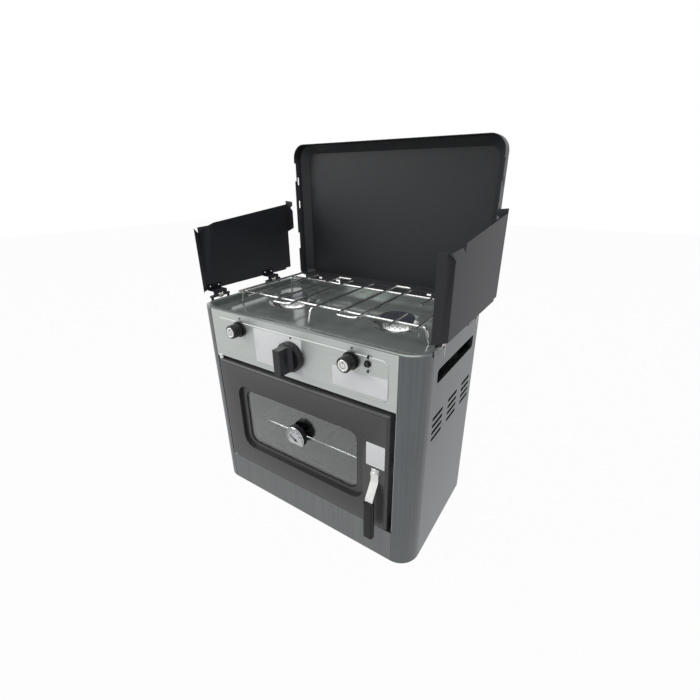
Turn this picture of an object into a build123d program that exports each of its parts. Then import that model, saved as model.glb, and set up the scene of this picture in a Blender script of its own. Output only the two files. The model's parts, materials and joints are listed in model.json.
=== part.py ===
"""Folding camp oven: two hob burners under a folding lid and side windshields, above a small gas oven.

Millimetres, +X to the right seen from the front, +Y to the back, +Z up.
The origin is on the ground, at the centre of the cabinet.
"""
import math
import os

from build123d import *

os.makedirs("parts", exist_ok=True)

# ---------------------------------------------------------------- driving dimensions
cabinet_w = 500.0          # across the side panels
cabinet_d = 294.0          # front panel to back panel
cabinet_h = 428.0          # sheet-metal cabinet without its feet
corner_r = 40.0            # vertical corners, seen from above
sheet = 1.2                # panel thickness
seam_x = 210.5             # where the side panels meet the front and back panels
seam_gap = 0.4             # play at each seam
panel_lip = 9.0            # return lips of the panels

foot_h = 5.0
foot_r = 12.0
foot_x = 205.0
foot_y = 105.0

hand_slot_w = 178.0
hand_slot_h = 25.0
hand_slot_z = 377.0        # above the underside of the cabinet
hand_slot_lip = 7.0
vent_w = 46.0
vent_h = 6.4
vent_pitch_y = 71.0
vent_pitch_z = 13.6
vent_z = 279.0

control_z = 328.0          # lower edge of the control panel, above the cabinet's underside
lower_panel_top = 70.0
emboss_h = 1.2
emboss_w = 388.0
emboss_tall = 74.0
emboss_z = 376.0
emboss_r = 12.0

rim_w = 12.0               # flat rim round the hob
hob_depth = 12.0           # hob floor below the rim
burner_x = 128.0
burner_y = 8.0
well_r = 47.5              # opening round each burner
well_slope = 8.0
well_depth = 5.0
burner_r = 31.0
burner_h = 14.0
cap_r = 33.0
cap_t = 4.0
burner_slots = 20
bowl_depth = 16.0

knob_drop = 28.0           # hob knob axes below the rim
oven_knob_drop = 53.0
stem_r = 3.0
knob_r = 13.0
knob_len = 20.0
knob_stand_off = 4.5
oven_knob_r = 28.0
oven_knob_disc = 12.0
grip_w = 15.0
grip_tall = 48.0
oven_knob_len = 38.0
valve_r = 9.0
pipe_r = 5.0
supply_r = 3.0
inlet_r = 5.55
inlet_len = 14.0
inlet_x = 190.0
running = 0.05             # radial clearance of every turning fit

door_left = -207.6
door_right = 200.5
door_z0 = 71.0
door_z1 = 319.0
door_t = 24.0
door_proud = 3.0           # how far the door stands out of the front panels
door_edge_r = 6.0          # rounded hinge edge, about the door's own axis
window_w = 278.0
window_h = 130.0
window_r = 20.0
recess_w = 308.0
recess_h = 154.0
recess_r = 26.0
recess_depth = 7.0
glass_t = 4.0
glass_overlap = 7.0
gasket_t = 1.2
gasket_show = 2.0          # gasket seen inside the window's edge
retainer_w = 4.0
surround_y = 27.0          # depth of the door surround behind the front panels
door_pin_r = 3.0
door_pin_len = 16.0

oven_w = 316.0
oven_z0 = 76.0
oven_z1 = 302.0
oven_depth = 224.0
liner_t = 1.0
seal_t = 6.0
floor_z = 102.0
oven_burner_r = 8.0
oven_burner_z = 88.0
post_pitch = 180.0         # posts under the burner tube
rack_z = (175.0, 240.0)
rack_wire_r = 2.2
rack_bar_r = 1.5
rack_bars = 9
rack_half_w = 148.0
rack_front = 7.0           # rack frame behind the liner's front edge
rack_len = 200.0
ledge_t = 1.2
rack_play = 0.3

latch_x = 176.5
latch_z = 196.0
latch_shaft_r = 4.0
strap_t = 2.5
strap_w = 15.0
strap_out = 19.0           # how far the strap is cranked away from the door
strap_head = 8.5           # strap's top end above its shaft
strap_crank = (16.0, 45.0)   # where the crank starts and ends, below the shaft
strap_len = 62.0
strap_bend = 10.0
strap_in_grip = 11.5       # length of strap held in the grip
tongue_len = 25.5
grip_len = 80.0
lever_grip_w = 20.0
lever_grip_t = 12.0

dial_r = 23.0
dial_z = 204.0
dial_flat = 17.0           # the dial's flat below its centre
dial_depth = 12.0
dial_front = 12.0          # dial face in front of the front panels
needle_len = 15.0
needle_drop = 7.0          # needle pivot below the dial's centre
needle_rest = 60.0         # lean of the resting needle to the left
probe_r = 3.5
probe_len = 28.0

trivet_h = 18.0            # centre of the top wires above the rim
wire_r = 2.25
loop_x = (55.0, 97.0)
outer_rod_x = 205.0
finger_x = 160.0
cross_half = 212.0
foot_splay = 8.0
finger_room = 30.0         # the finger rods' ends from the burners' centre line
trivet_inset = (57.0, 9.0)   # trivet's ends behind the front and ahead of the rear panel
cross_inset = (89.0, 47.0)   # cross rods, measured the same way

shield_x = 267.0           # windshield plane
shield_t = 1.0
shield_bottom = 18.5       # above the rim
shield_front_in = 39.0     # windshield's bend behind the front panels
shield_rear_over = 7.0     # and its rear edge behind the rear panel
shield_flange = ((28.0, 15.0), (55.0, 12.0))   # angle from straight ahead, length of each strip
shield_top_front = 147.0
shield_top_rear = 178.0
shield_step = (26.0, 40.0, 148.5, 153.0)   # start and end of the step in the top edge, and its two heights
shield_notch = 13.0        # depth of the right windshield's notch
shield_ear = (18.0, 12.0)  # flat ear ahead of the bend: length, height
shield_heel = (18.0, 4.0)  # length and height of the raised heel beside the lid's hinge
tab_x = 246.5              # inner end of the rear tab
tab_z = (112.0, 122.0, 186.0)
tab_notch = (6.5, 163.0, 175.0)
shield_axis_x = 251.0
shield_axis_z = 7.0        # above the rim
shield_hinge_in = (57.0, 77.0)   # hinges from the front and the rear panel
leaf_w = 34.0
knuckle_r = 3.0
shield_pin_r = 1.5
leaf_t = 1.2
leaf_rise = 10.0           # from the pin to the leaf's outward run
leaf_plate = 13.0
bracket_drop = 34.0        # reach of the hinge bracket down the side panel
spring_r = 3.4
spring_turns = 4
spring_len = 13.0

lid_w = 490.0
lid_wall = 24.0
lid_slope = 13.0
lid_slope_in = 17.0
lid_slope_hinge_in = 3.0
lid_r = 30.0
lid_hinge_r = 12.0         # corners on the hinge side
lid_t = 1.2
lid_front_over = 2.0       # closed lid's front wall ahead of the front panels
lid_rear_over = 10.0       # and its rear wall behind the rear panel
lid_axis_back = 6.0        # hinge pin behind the closed lid's rear wall
lid_axis_z = -3.0          # above the rim
lid_gap = 2.0              # closed lid above the rim
lid_notch_h = 5.0
lid_hinge_x = 150.0
lid_hinge_w = 44.0
lid_knuckle_r = 3.5
lid_pin_r = 2.0
hook_slot_len = 18.0
hook_slot_w = 5.0
hook_slot_from_hinge = (180.0, 233.0)

origin_y = 9.4             # the open part's middle behind the cabinet's

# ---------------------------------------------------------------- places that follow
half_w = cabinet_w / 2
front_y = -cabinet_d / 2
rear_y = cabinet_d / 2
base_z = foot_h
rim_z = base_z + cabinet_h
seam_inner = seam_x - seam_gap
hob_floor_z = rim_z - hob_depth
trivet_front = front_y + trivet_inset[0]
trivet_rear = rear_y - trivet_inset[1]
cross_y = (front_y + cross_inset[0], rear_y - cross_inset[1])
finger_end = (burner_y - finger_room, burner_y + finger_room)
shield_front_y = front_y + shield_front_in
shield_rear_y = rear_y + shield_rear_over
shield_hinge_y = (front_y + shield_hinge_in[0], rear_y - shield_hinge_in[1])
lid_y0 = front_y - lid_front_over
lid_rear_y = rear_y + lid_rear_over
lid_axis_y = lid_rear_y + lid_axis_back


def up(height):
    """Height above the underside of the cabinet, in the part's own frame."""
    return base_z + height


def keep(piece, name):
    """Label one finished piece and write it to its own file, with the frame under the open part's middle."""
    placed = piece.part.moved(Location((0, -origin_y, 0)))
    placed.label = name
    export_step(placed, f"parts/{name}.step")


def keep_open(piece, name):
    """The lid's pieces are drawn closed and stored open, a quarter turn about their hinge."""
    turned = piece.part.rotate(Axis((0, lid_axis_y, rim_z + lid_axis_z), (1, 0, 0)), -90)
    turned = turned.moved(Location((0, -origin_y, 0)))
    turned.label = name
    export_step(turned, f"parts/{name}.step")


def rounded(width, depth, radius):
    """A rounded rectangle that stays valid when its radius reaches half its width."""
    RectangleRounded(width, depth, min(radius, width / 2 - 0.1, depth / 2 - 0.1))


def cut_away(width, depth, radius):
    RectangleRounded(width, depth, min(radius, width / 2 - 0.1, depth / 2 - 0.1), mode=Mode.SUBTRACT)


def front_plane(y):
    """Sketches here run X to the right and Y up, and extrude towards the back."""
    return Plane(origin=(0, y, 0), x_dir=(1, 0, 0), z_dir=(0, -1, 0))


def bent_wire(points, radius, bend, close=False):
    """A round wire or tube bent through the points."""
    with BuildPart() as rod:
        with BuildLine() as path:
            if len(points) > 2:
                FilletPolyline(*points, radius=bend, close=close)
            else:
                Line(*points)
        with BuildSketch(Plane(origin=path.line @ 0, z_dir=path.line % 0)):
            Circle(radius)
        sweep(path=path.line)
    return rod.part


# ================================================================ cabinet sheet metal
with BuildPart() as side_panel_right:
    with BuildSketch(Plane.XY.offset(base_z)):
        rounded(cabinet_w, cabinet_d, corner_r)
        cut_away(cabinet_w - 2 * sheet, cabinet_d - 2 * sheet, corner_r - sheet)
        with Locations((seam_x - cabinet_w, 0)):
            Rectangle(cabinet_w * 2, cabinet_d * 2, mode=Mode.SUBTRACT)
        with Locations((seam_x + sheet / 2, front_y + panel_lip / 2), (seam_x + sheet / 2, rear_y - panel_lip / 2)):
            Rectangle(sheet, panel_lip)
    extrude(amount=cabinet_h - sheet)
    # a folded lip lines the hand slot
    with BuildSketch(Plane.YZ.offset(half_w)):
        with Locations((0, up(hand_slot_z))):
            rounded(hand_slot_w + 2 * sheet, hand_slot_h + 2 * sheet, hand_slot_h / 4 + sheet)
    extrude(amount=-hand_slot_lip)
    with BuildSketch(Plane.YZ.offset(half_w)):
        with Locations((0, up(hand_slot_z))):
            rounded(hand_slot_w, hand_slot_h, hand_slot_h / 4)
    extrude(amount=-2 * hand_slot_lip, mode=Mode.SUBTRACT)
    with BuildSketch(Plane.YZ.offset(half_w)):
        with Locations((0, up(vent_z))):
            with GridLocations(vent_pitch_y, vent_pitch_z, 3, 4):
                SlotOverall(vent_w, vent_h)
    extrude(amount=-2 * sheet, mode=Mode.SUBTRACT)
keep(side_panel_right, "side_panel_right")

with BuildPart() as side_panel_left:
    mirror(side_panel_right.part, about=Plane.YZ)
keep(side_panel_left, "side_panel_left")

# the back panel carries the flue slots and lets the gas inlet out
inlet_z = rim_z - knob_drop - valve_r - pipe_r + 2.5
flue_slot_w = 64.0
flue_slot_h = 7.0
with BuildPart() as back_panel:
    with BuildSketch(front_plane(rear_y - sheet)):
        with Locations((0, up(0) + (cabinet_h - sheet) / 2)):
            Rectangle(2 * seam_inner, cabinet_h - sheet)
        with Locations((0, up(318))):
            with GridLocations(flue_slot_w + 16, 2 * flue_slot_h, 3, 4):
                SlotOverall(flue_slot_w, flue_slot_h, mode=Mode.SUBTRACT)
        with Locations((inlet_x, inlet_z)):
            Circle(inlet_r + 1.5, mode=Mode.SUBTRACT)
    extrude(amount=-sheet)
keep(back_panel, "back_panel")

pan_w = cabinet_w - 2 * sheet - 2 * seam_gap
pan_d = cabinet_d - 2 * sheet - 2 * seam_gap
pan_r = corner_r - sheet - seam_gap
pan_lip = 10.0
lip_room = 2 * (panel_lip + seam_gap)
pan_slot_row = pan_d / 5
pan_slot_pitch = pan_w / 7
pan_slot_len = 46.0
pan_slot_w = 8.0
with BuildPart() as base_pan:
    with BuildSketch(Plane.XY.offset(base_z)):
        rounded(pan_w, pan_d, pan_r)
        with Locations((0, 0)):
            with GridLocations(2 * seam_x + sheet, cabinet_d, 2, 2):
                Rectangle(sheet + 2 * seam_gap, lip_room, mode=Mode.SUBTRACT)
        with Locations((0, pan_slot_row), (0, -pan_slot_row)):
            with GridLocations(pan_slot_pitch, 0, 4, 1):
                SlotOverall(pan_slot_len, pan_slot_w, mode=Mode.SUBTRACT)
    extrude(amount=sheet)
    with BuildSketch(Plane.XY.offset(base_z)):
        rounded(pan_w, pan_d, pan_r)
        cut_away(pan_w - 2 * sheet, pan_d - 2 * sheet, pan_r - sheet)
        with Locations((0, 0)):
            with GridLocations(2 * seam_x + sheet, cabinet_d, 2, 2):
                Rectangle(sheet + 2 * seam_gap, lip_room, mode=Mode.SUBTRACT)
        with Locations((0, front_y)):
            Rectangle(2 * seam_inner, 2 * panel_lip, mode=Mode.SUBTRACT)
    extrude(amount=pan_lip)
keep(base_pan, "base_pan")

with BuildPart() as feet:
    with BuildSketch(Plane.XY):
        with GridLocations(2 * foot_x, 2 * foot_y, 2, 2):
            Circle(foot_r)
    extrude(amount=foot_h, taper=8)
keep(feet, "feet")

with BuildPart() as lower_front_panel:
    with BuildSketch(front_plane(front_y)):
        with Locations((0, up(lower_panel_top / 2))):
            Rectangle(2 * seam_inner, lower_panel_top)
    extrude(amount=-sheet)
    with BuildSketch(Plane.XY.offset(up(lower_panel_top - sheet))):
        with Locations((0, front_y + surround_y / 2)):
            Rectangle(2 * seam_inner, surround_y)
    extrude(amount=sheet)
keep(lower_front_panel, "lower_front_panel")

control_h = cabinet_h - sheet - control_z
with BuildPart() as control_panel:
    with BuildSketch(front_plane(front_y)):
        with Locations((0, up(control_z + control_h / 2))):
            Rectangle(2 * seam_inner, control_h)
    extrude(amount=-sheet)
    # a raised rounded field, pressed out of the sheet
    with BuildSketch(front_plane(front_y - emboss_h)):
        with Locations((0, up(emboss_z))):
            rounded(emboss_w, emboss_tall, emboss_r)
    extrude(amount=-emboss_h)
    with BuildSketch(front_plane(front_y - emboss_h + sheet)):
        with Locations((0, up(emboss_z))):
            rounded(emboss_w - 2 * sheet, emboss_tall - 2 * sheet, emboss_r - sheet)
    extrude(amount=-2 * sheet, mode=Mode.SUBTRACT)
    field = control_panel.faces().sort_by(Axis.Y)[0]
    chamfer(field.outer_wire().edges(), emboss_h * 0.8)
    with BuildSketch(Plane.XY.offset(up(control_z))):
        with Locations((0, front_y + surround_y / 2)):
            Rectangle(2 * seam_inner, surround_y)
    extrude(amount=sheet)
    with BuildSketch(front_plane(front_y - 2 * emboss_h)):
        with Locations((-burner_x, rim_z - knob_drop), (burner_x, rim_z - knob_drop)):
            Circle(stem_r + 2)
        with Locations((0, rim_z - oven_knob_drop)):
            Circle(stem_r + 2)
    extrude(amount=-4 * sheet - emboss_h, mode=Mode.SUBTRACT)
keep(control_panel, "control_panel")

# ================================================================ hob
with BuildPart() as hob_plate:
    with BuildSketch(Plane.XY.offset(rim_z - sheet)):
        rounded(cabinet_w, cabinet_d, corner_r)
    extrude(amount=sheet)
    with BuildSketch(Plane.XY.offset(hob_floor_z - sheet)):
        rounded(cabinet_w - 2 * rim_w + 2 * sheet, cabinet_d - 2 * rim_w + 2 * sheet, corner_r - rim_w + sheet)
    extrude(amount=hob_depth)
    with BuildSketch(Plane.XY.offset(hob_floor_z - sheet - well_depth)):
        with Locations((-burner_x, burner_y), (burner_x, burner_y)):
            Circle(well_r + well_slope + sheet)
    extrude(amount=well_depth + sheet)
    with BuildSketch(Plane.XY.offset(hob_floor_z)):
        rounded(cabinet_w - 2 * rim_w, cabinet_d - 2 * rim_w, corner_r - rim_w)
    extrude(amount=2 * hob_depth, mode=Mode.SUBTRACT)
    # each well slopes down to its opening
    with BuildSketch(Plane.XY.offset(hob_floor_z)):
        with Locations((-burner_x, burner_y), (burner_x, burner_y)):
            Circle(well_r + well_slope)
    with BuildSketch(Plane.XY.offset(hob_floor_z - well_depth)):
        with Locations((-burner_x, burner_y), (burner_x, burner_y)):
            Circle(well_r)
    for side in (-burner_x, burner_x):
        with Locations((side, burner_y, hob_floor_z - well_depth / 2)):
            Cone(well_r, well_r + well_slope, well_depth, mode=Mode.SUBTRACT)
        with Locations((side, burner_y, hob_floor_z)):
            Cylinder(well_r, 6 * well_depth, mode=Mode.SUBTRACT)
keep(hob_plate, "hob_plate")

# ================================================================ burners and gas way
well_floor_z = hob_floor_z - well_depth
throat_r = 12.0
feed_z = rim_z - 44.0
valve_y0 = front_y + sheet + 4.0
valve_y1 = valve_y0 + 30.0
pipe_bend = 14.0
supply_bend = 6.0


def burner(side, name):
    """One hob burner: slotted drum on a throat, standing in a dished bowl under the hob plate."""
    x = side * burner_x
    bowl_top = well_floor_z - sheet
    with BuildPart() as head:
        with BuildSketch(Plane(origin=(x, burner_y, 0), x_dir=(1, 0, 0), z_dir=(0, -1, 0))):
            with BuildLine():
                Polyline((throat_r, bowl_top - bowl_depth + 1), (30, bowl_top - bowl_depth + 1), (well_r + 2, bowl_top - 1),
                         (well_r + 8, bowl_top - 1), (well_r + 8, bowl_top), (well_r + 1.5, bowl_top),
                         (29.5, bowl_top - bowl_depth + 2), (throat_r, bowl_top - bowl_depth + 2), close=True)
            make_face()
        revolve(axis=Axis((x, burner_y, 0), (0, 0, 1)))
        with BuildSketch(Plane.XY.offset(feed_z - 8)):
            with Locations((x, burner_y)):
                Circle(throat_r)
        extrude(amount=well_floor_z - 2 - feed_z + 8)
        with BuildSketch(Plane.XY.offset(well_floor_z - 2)):
            with Locations((x, burner_y)):
                Circle(burner_r)
        extrude(amount=burner_h)
        with BuildSketch(Plane.XY.offset(well_floor_z + 1)):
            with Locations((x, burner_y)):
                with PolarLocations(burner_r - 1, burner_slots):
                    Rectangle(6, 2.4)
        extrude(amount=burner_h - 5, mode=Mode.SUBTRACT)
    keep(head, name)
    with BuildPart() as cap:
        with BuildSketch(Plane.XY.offset(well_floor_z - 2 + burner_h)):
            with Locations((x, burner_y)):
                Circle(cap_r)
        extrude(amount=cap_t)
        chamfer(cap.faces().sort_by(Axis.Z)[-1].edges(), 1.5)
    keep(cap, name.replace("burner", "burner_cap"))


burner(-1, "burner_left")
burner(1, "burner_right")

knob_places = ((-burner_x, rim_z - knob_drop), (0.0, rim_z - oven_knob_drop), (burner_x, rim_z - knob_drop))
rail_y = valve_y1 - 9.0
pipes = [bent_wire([(-burner_x - 12, rail_y, inlet_z), (inlet_x, rail_y, inlet_z), (inlet_x, rear_y - 8, inlet_z)],
                   pipe_r, pipe_bend)]
for x in (-burner_x, burner_x):
    pipes.append(bent_wire([(x, valve_y1 - 2, rim_z - knob_drop), (x, valve_y1 + 14, rim_z - knob_drop),
                            (x, valve_y1 + 26, feed_z), (x, burner_y - throat_r, feed_z)], supply_r, supply_bend))
with BuildPart() as gas_manifold:
    for kx, kz in knob_places:
        with BuildSketch(front_plane(valve_y0)):
            with Locations((kx, kz)):
                Circle(valve_r)
        extrude(amount=-(valve_y1 - valve_y0))
    add(pipes)
    for kx, kz in knob_places:
        with BuildSketch(front_plane(valve_y0)):
            with Locations((kx, kz)):
                Circle(stem_r + running)
        extrude(amount=-16, mode=Mode.SUBTRACT)
keep(gas_manifold, "gas_manifold")

with BuildPart() as gas_inlet:
    with BuildSketch(front_plane(rear_y - 8)):
        with Locations((inlet_x, inlet_z)):
            Circle(inlet_r)
    extrude(amount=-(8 + inlet_len))
    with BuildSketch(front_plane(rear_y + 0.2)):
        with Locations((inlet_x, inlet_z)):
            RegularPolygon(8.5, 6)
    extrude(amount=-3)
    chamfer(gas_inlet.faces().sort_by(Axis.Y)[-1].edges(), 1.2)
keep(gas_inlet, "gas_inlet")

supply_x = -185.0
supply_y = 40.0
supply_reach = 60.0        # run of the oven's feed under the liner
supply_high = 343.0        # height of its cross run, above the liner's roof
supply_end_bend = 9.0
oven_valve_y = (valve_y0 + valve_y1) / 2
supply_run = bent_wire([(supply_x + supply_reach, supply_y, up(oven_burner_z)), (supply_x, supply_y, up(oven_burner_z)),
                        (supply_x, supply_y, up(supply_high)), (0, supply_y, up(supply_high)),
                        (0, oven_valve_y, up(supply_high)),
                        (0, oven_valve_y, rim_z - oven_knob_drop - valve_r + 0.3)], supply_r, supply_end_bend)
with BuildPart() as oven_supply_pipe:
    add(supply_run)
keep(oven_supply_pipe, "oven_supply_pipe")

# ================================================================ oven
surround_back = front_y + surround_y
with BuildPart() as door_surround:
    with BuildSketch(front_plane(surround_back)):
        with Locations((0, up((lower_panel_top + control_z) / 2))):
            Rectangle(2 * seam_inner, control_z - lower_panel_top)
        with Locations((0, up((oven_z0 + oven_z1) / 2))):
            cut_away(oven_w, oven_z1 - oven_z0, 10)
    extrude(amount=-sheet)
    # jambs run forward from the surround to the side panels
    with BuildSketch(Plane.XY.offset(up(lower_panel_top))):
        with Locations(((-seam_inner + sheet / 2), (front_y + 2 + surround_back) / 2),
                       ((seam_inner - sheet / 2), (front_y + 2 + surround_back) / 2)):
            Rectangle(sheet, surround_y - 2)
    extrude(amount=control_z - lower_panel_top)
keep(door_surround, "door_surround")

with BuildPart() as oven_seal:
    with BuildSketch(front_plane(surround_back)):
        with Locations((0, up((oven_z0 + oven_z1) / 2))):
            rounded(oven_w + 20, oven_z1 - oven_z0 + 11, 14)
            cut_away(oven_w + 4, oven_z1 - oven_z0 - 1, 10)
    extrude(amount=seal_t - 0.4)
keep(oven_seal, "oven_seal")

liner_y = surround_back + sheet
liner_mid_z = up((oven_z0 + oven_z1) / 2)
with BuildPart() as oven_liner:
    with BuildSketch(front_plane(liner_y)):
        with Locations((0, liner_mid_z)):
            rounded(oven_w + 2 * liner_t, oven_z1 - oven_z0 + 2 * liner_t, 10 + liner_t)
    extrude(amount=-oven_depth)
    with BuildSketch(front_plane(liner_y - 1)):
        with Locations((0, liner_mid_z)):
            rounded(oven_w, oven_z1 - oven_z0, 10)
    extrude(amount=-(oven_depth + 1 - liner_t), mode=Mode.SUBTRACT)
    with BuildSketch(Plane.YZ.offset(-oven_w / 2 + 5)):
        with Locations((supply_y, up(oven_burner_z))):
            Circle(supply_r + 0.4)
    extrude(amount=-10, mode=Mode.SUBTRACT)
    # flue slots high in the back wall
    with BuildSketch(front_plane(liner_y + oven_depth - 2 * liner_t)):
        with Locations((0, up(oven_z1 - 16))):
            with GridLocations(60, 0, 3, 1):
                SlotOverall(44, 7)
    extrude(amount=-4 * liner_t, mode=Mode.SUBTRACT)
keep(oven_liner, "oven_liner")

floor_y = liner_y + oven_depth / 2
with BuildPart() as oven_floor_plate:
    with BuildSketch(Plane.XY.offset(up(floor_z))):
        with Locations((0, floor_y)):
            Rectangle(oven_w - 2, oven_depth - 8)
            with GridLocations(50, 176, 5, 2):
                SlotOverall(36, 6, mode=Mode.SUBTRACT)
    extrude(amount=sheet)
    with BuildSketch(Plane.XY.offset(up(oven_z0))):
        with Locations((0, floor_y)):
            with GridLocations(oven_w - 34, 0, 2, 1):
                Rectangle(sheet, oven_depth - 60)
    extrude(amount=floor_z - oven_z0)
    with BuildSketch(Plane.YZ.offset(-oven_w / 2)):
        with Locations((supply_y, up(oven_burner_z))):
            Circle(oven_burner_r + 1)
    extrude(amount=oven_w, mode=Mode.SUBTRACT)
keep(oven_floor_plate, "oven_floor_plate")

with BuildPart() as oven_burner:
    with BuildSketch(Plane.YZ.offset(supply_x + 58)):
        with Locations((supply_y, up(oven_burner_z))):
            Circle(oven_burner_r)
    extrude(amount=2 * -(supply_x + 58))
    with BuildSketch(Plane.YZ.offset(supply_x + 58)):
        with Locations((supply_y, up(oven_burner_z))):
            Circle(supply_r)
    extrude(amount=3, mode=Mode.SUBTRACT)
    with BuildSketch(Plane.XY.offset(up(oven_burner_z) + oven_burner_r - 2)):
        with Locations((0, supply_y)):
            with GridLocations(16, 0, 14, 1):
                Rectangle(2, 7)
    extrude(amount=4, mode=Mode.SUBTRACT)
    # two posts stand the tube on the oven's floor
    with BuildSketch(Plane.XY.offset(up(oven_z0))):
        with Locations((0, supply_y)):
            with GridLocations(post_pitch, 0, 2, 1):
                Rectangle(12, 5)
    extrude(amount=oven_burner_z - oven_z0)
keep(oven_burner, "oven_burner")

rack_y0 = liner_y + rack_front
ledge_run = oven_w / 2 - rack_half_w + 3
for side, name in ((-1, "rack_runner_left"), (1, "rack_runner_right")):
    with BuildPart() as runner:
        with BuildSketch(Plane.XZ.offset(-(liner_y + 3))):
            for level in rack_z:
                ledge_top = up(level) - rack_wire_r - rack_play
                with Locations((side * (oven_w / 2 - ledge_run / 2), ledge_top - ledge_t / 2)):
                    Rectangle(ledge_run, ledge_t)
            with Locations((side * (oven_w / 2 - ledge_t / 2), up((rack_z[0] + rack_z[1]) / 2) - 4)):
                Rectangle(ledge_t, rack_z[1] - rack_z[0] + 14)
        extrude(amount=-(oven_depth - 8))
    keep(runner, name)


def rack(level, name):
    """One oven rack: a bent wire frame with straight bars welded under it."""
    z = up(level)
    x = rack_half_w - rack_wire_r
    y0 = rack_y0 + rack_wire_r
    y1 = y0 + rack_len
    frame = bent_wire([(x, y0, z), (x, y1, z), (-x, y1, z), (-x, y0, z)], rack_wire_r, 10, close=True)
    with BuildPart() as shelf:
        add(frame)
        with BuildSketch(front_plane(y0)):
            with Locations((0, z)):
                with GridLocations(2 * x / (rack_bars + 1), 0, rack_bars, 1):
                    Circle(rack_bar_r)
        extrude(amount=-rack_len)
    keep(shelf, name)


rack(rack_z[0], "rack_lower")
rack(rack_z[1], "rack_upper")

# ================================================================ door
door_w = door_right - door_left
door_h = door_z1 - door_z0
door_cx = (door_left + door_right) / 2
door_cz = up((door_z0 + door_z1) / 2)
door_front = front_y - door_proud
door_back = door_front + door_t
door_axis_x = door_left + door_edge_r
door_axis_y = door_front + door_edge_r
window_x = -3.75
window_z = up(195.0)
glass_w = window_w + 2 * glass_overlap
glass_h = window_h + 2 * glass_overlap
gasket_y = door_front + recess_depth + sheet
glass_y = gasket_y + gasket_t
retainer_y = glass_y + glass_t
latch_cz = up(latch_z)



def door_block(inset):
    """The door's solid outline, shrunk by the sheet for its hollow."""
    with BuildPart() as block:
        with BuildSketch(front_plane(door_front + inset)):
            with Locations((door_cx, door_cz)):
                Rectangle(door_w - 2 * inset, door_h - 2 * inset)
        extrude(amount=-door_t)
        fillet(block.faces().sort_by(Axis.Y)[0].edges(), door_edge_r - inset)
    return block.part


door_solid = door_block(0.0)
door_hollow = door_block(sheet)
with BuildPart() as door_outer:
    add(door_solid)
    add(door_hollow, mode=Mode.SUBTRACT)
    # pressed tub round the window
    with BuildSketch(front_plane(door_front + 0.4)):
        with Locations((window_x, window_z)):
            rounded(recess_w + 2 * sheet, recess_h + 2 * sheet, recess_r + sheet)
    extrude(amount=-(recess_depth + sheet - 0.4))
    with BuildSketch(front_plane(door_front - 1)):
        with Locations((window_x, window_z)):
            rounded(recess_w, recess_h, recess_r)
    extrude(amount=-(recess_depth + 1), mode=Mode.SUBTRACT)
    with BuildSketch(front_plane(door_front - 1)):
        with Locations((window_x, window_z)):
            rounded(window_w, window_h, window_r)
        with Locations((latch_x, latch_cz)):
            Circle(latch_shaft_r + running)
    extrude(amount=-door_t, mode=Mode.SUBTRACT)
    with BuildSketch(Plane.XY.offset(up(door_z0 - 1))):
        with Locations((door_axis_x, door_axis_y)):
            Circle(door_pin_r + running)
    extrude(amount=door_h + 2, mode=Mode.SUBTRACT)
keep(door_outer, "door_outer")

# the inner skin closes the drawn outer skin and holds the glass against its seal
with BuildPart() as door_inner:
    with BuildSketch(front_plane(door_back - sheet)):
        with Locations((door_cx, door_cz)):
            Rectangle(door_w - 2 * sheet - 0.4, door_h - 2 * sheet - 0.4)
        with Locations((latch_x, latch_cz), (door_axis_x, door_z0)):
            Circle(latch_shaft_r + running, mode=Mode.SUBTRACT)
    extrude(amount=-sheet)
    with BuildSketch(front_plane(retainer_y)):
        with Locations((window_x, window_z)):
            rounded(window_w + 2 * retainer_w + 2 * sheet, window_h + 2 * retainer_w + 2 * sheet, window_r + retainer_w)
    extrude(amount=-(door_back - retainer_y))
    with BuildSketch(front_plane(retainer_y - 1)):
        with Locations((window_x, window_z)):
            rounded(window_w + 2 * retainer_w, window_h + 2 * retainer_w, window_r + retainer_w - sheet)
    extrude(amount=-door_t, mode=Mode.SUBTRACT)
keep(door_inner, "door_inner")

with BuildPart() as door_glass:
    with BuildSketch(front_plane(glass_y)):
        with Locations((window_x, window_z)):
            rounded(glass_w, glass_h, window_r + glass_overlap)
        with Locations((0, up(dial_z))):
            Circle(probe_r + 0.6, mode=Mode.SUBTRACT)
    extrude(amount=-glass_t)
keep(door_glass, "door_glass")

with BuildPart() as glass_seal:
    with BuildSketch(front_plane(gasket_y)):
        with Locations((window_x, window_z)):
            rounded(glass_w, glass_h, window_r + glass_overlap)
            cut_away(window_w - 2 * gasket_show, window_h - 2 * gasket_show, window_r - gasket_show)
    extrude(amount=-gasket_t)
keep(glass_seal, "glass_seal")

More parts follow.
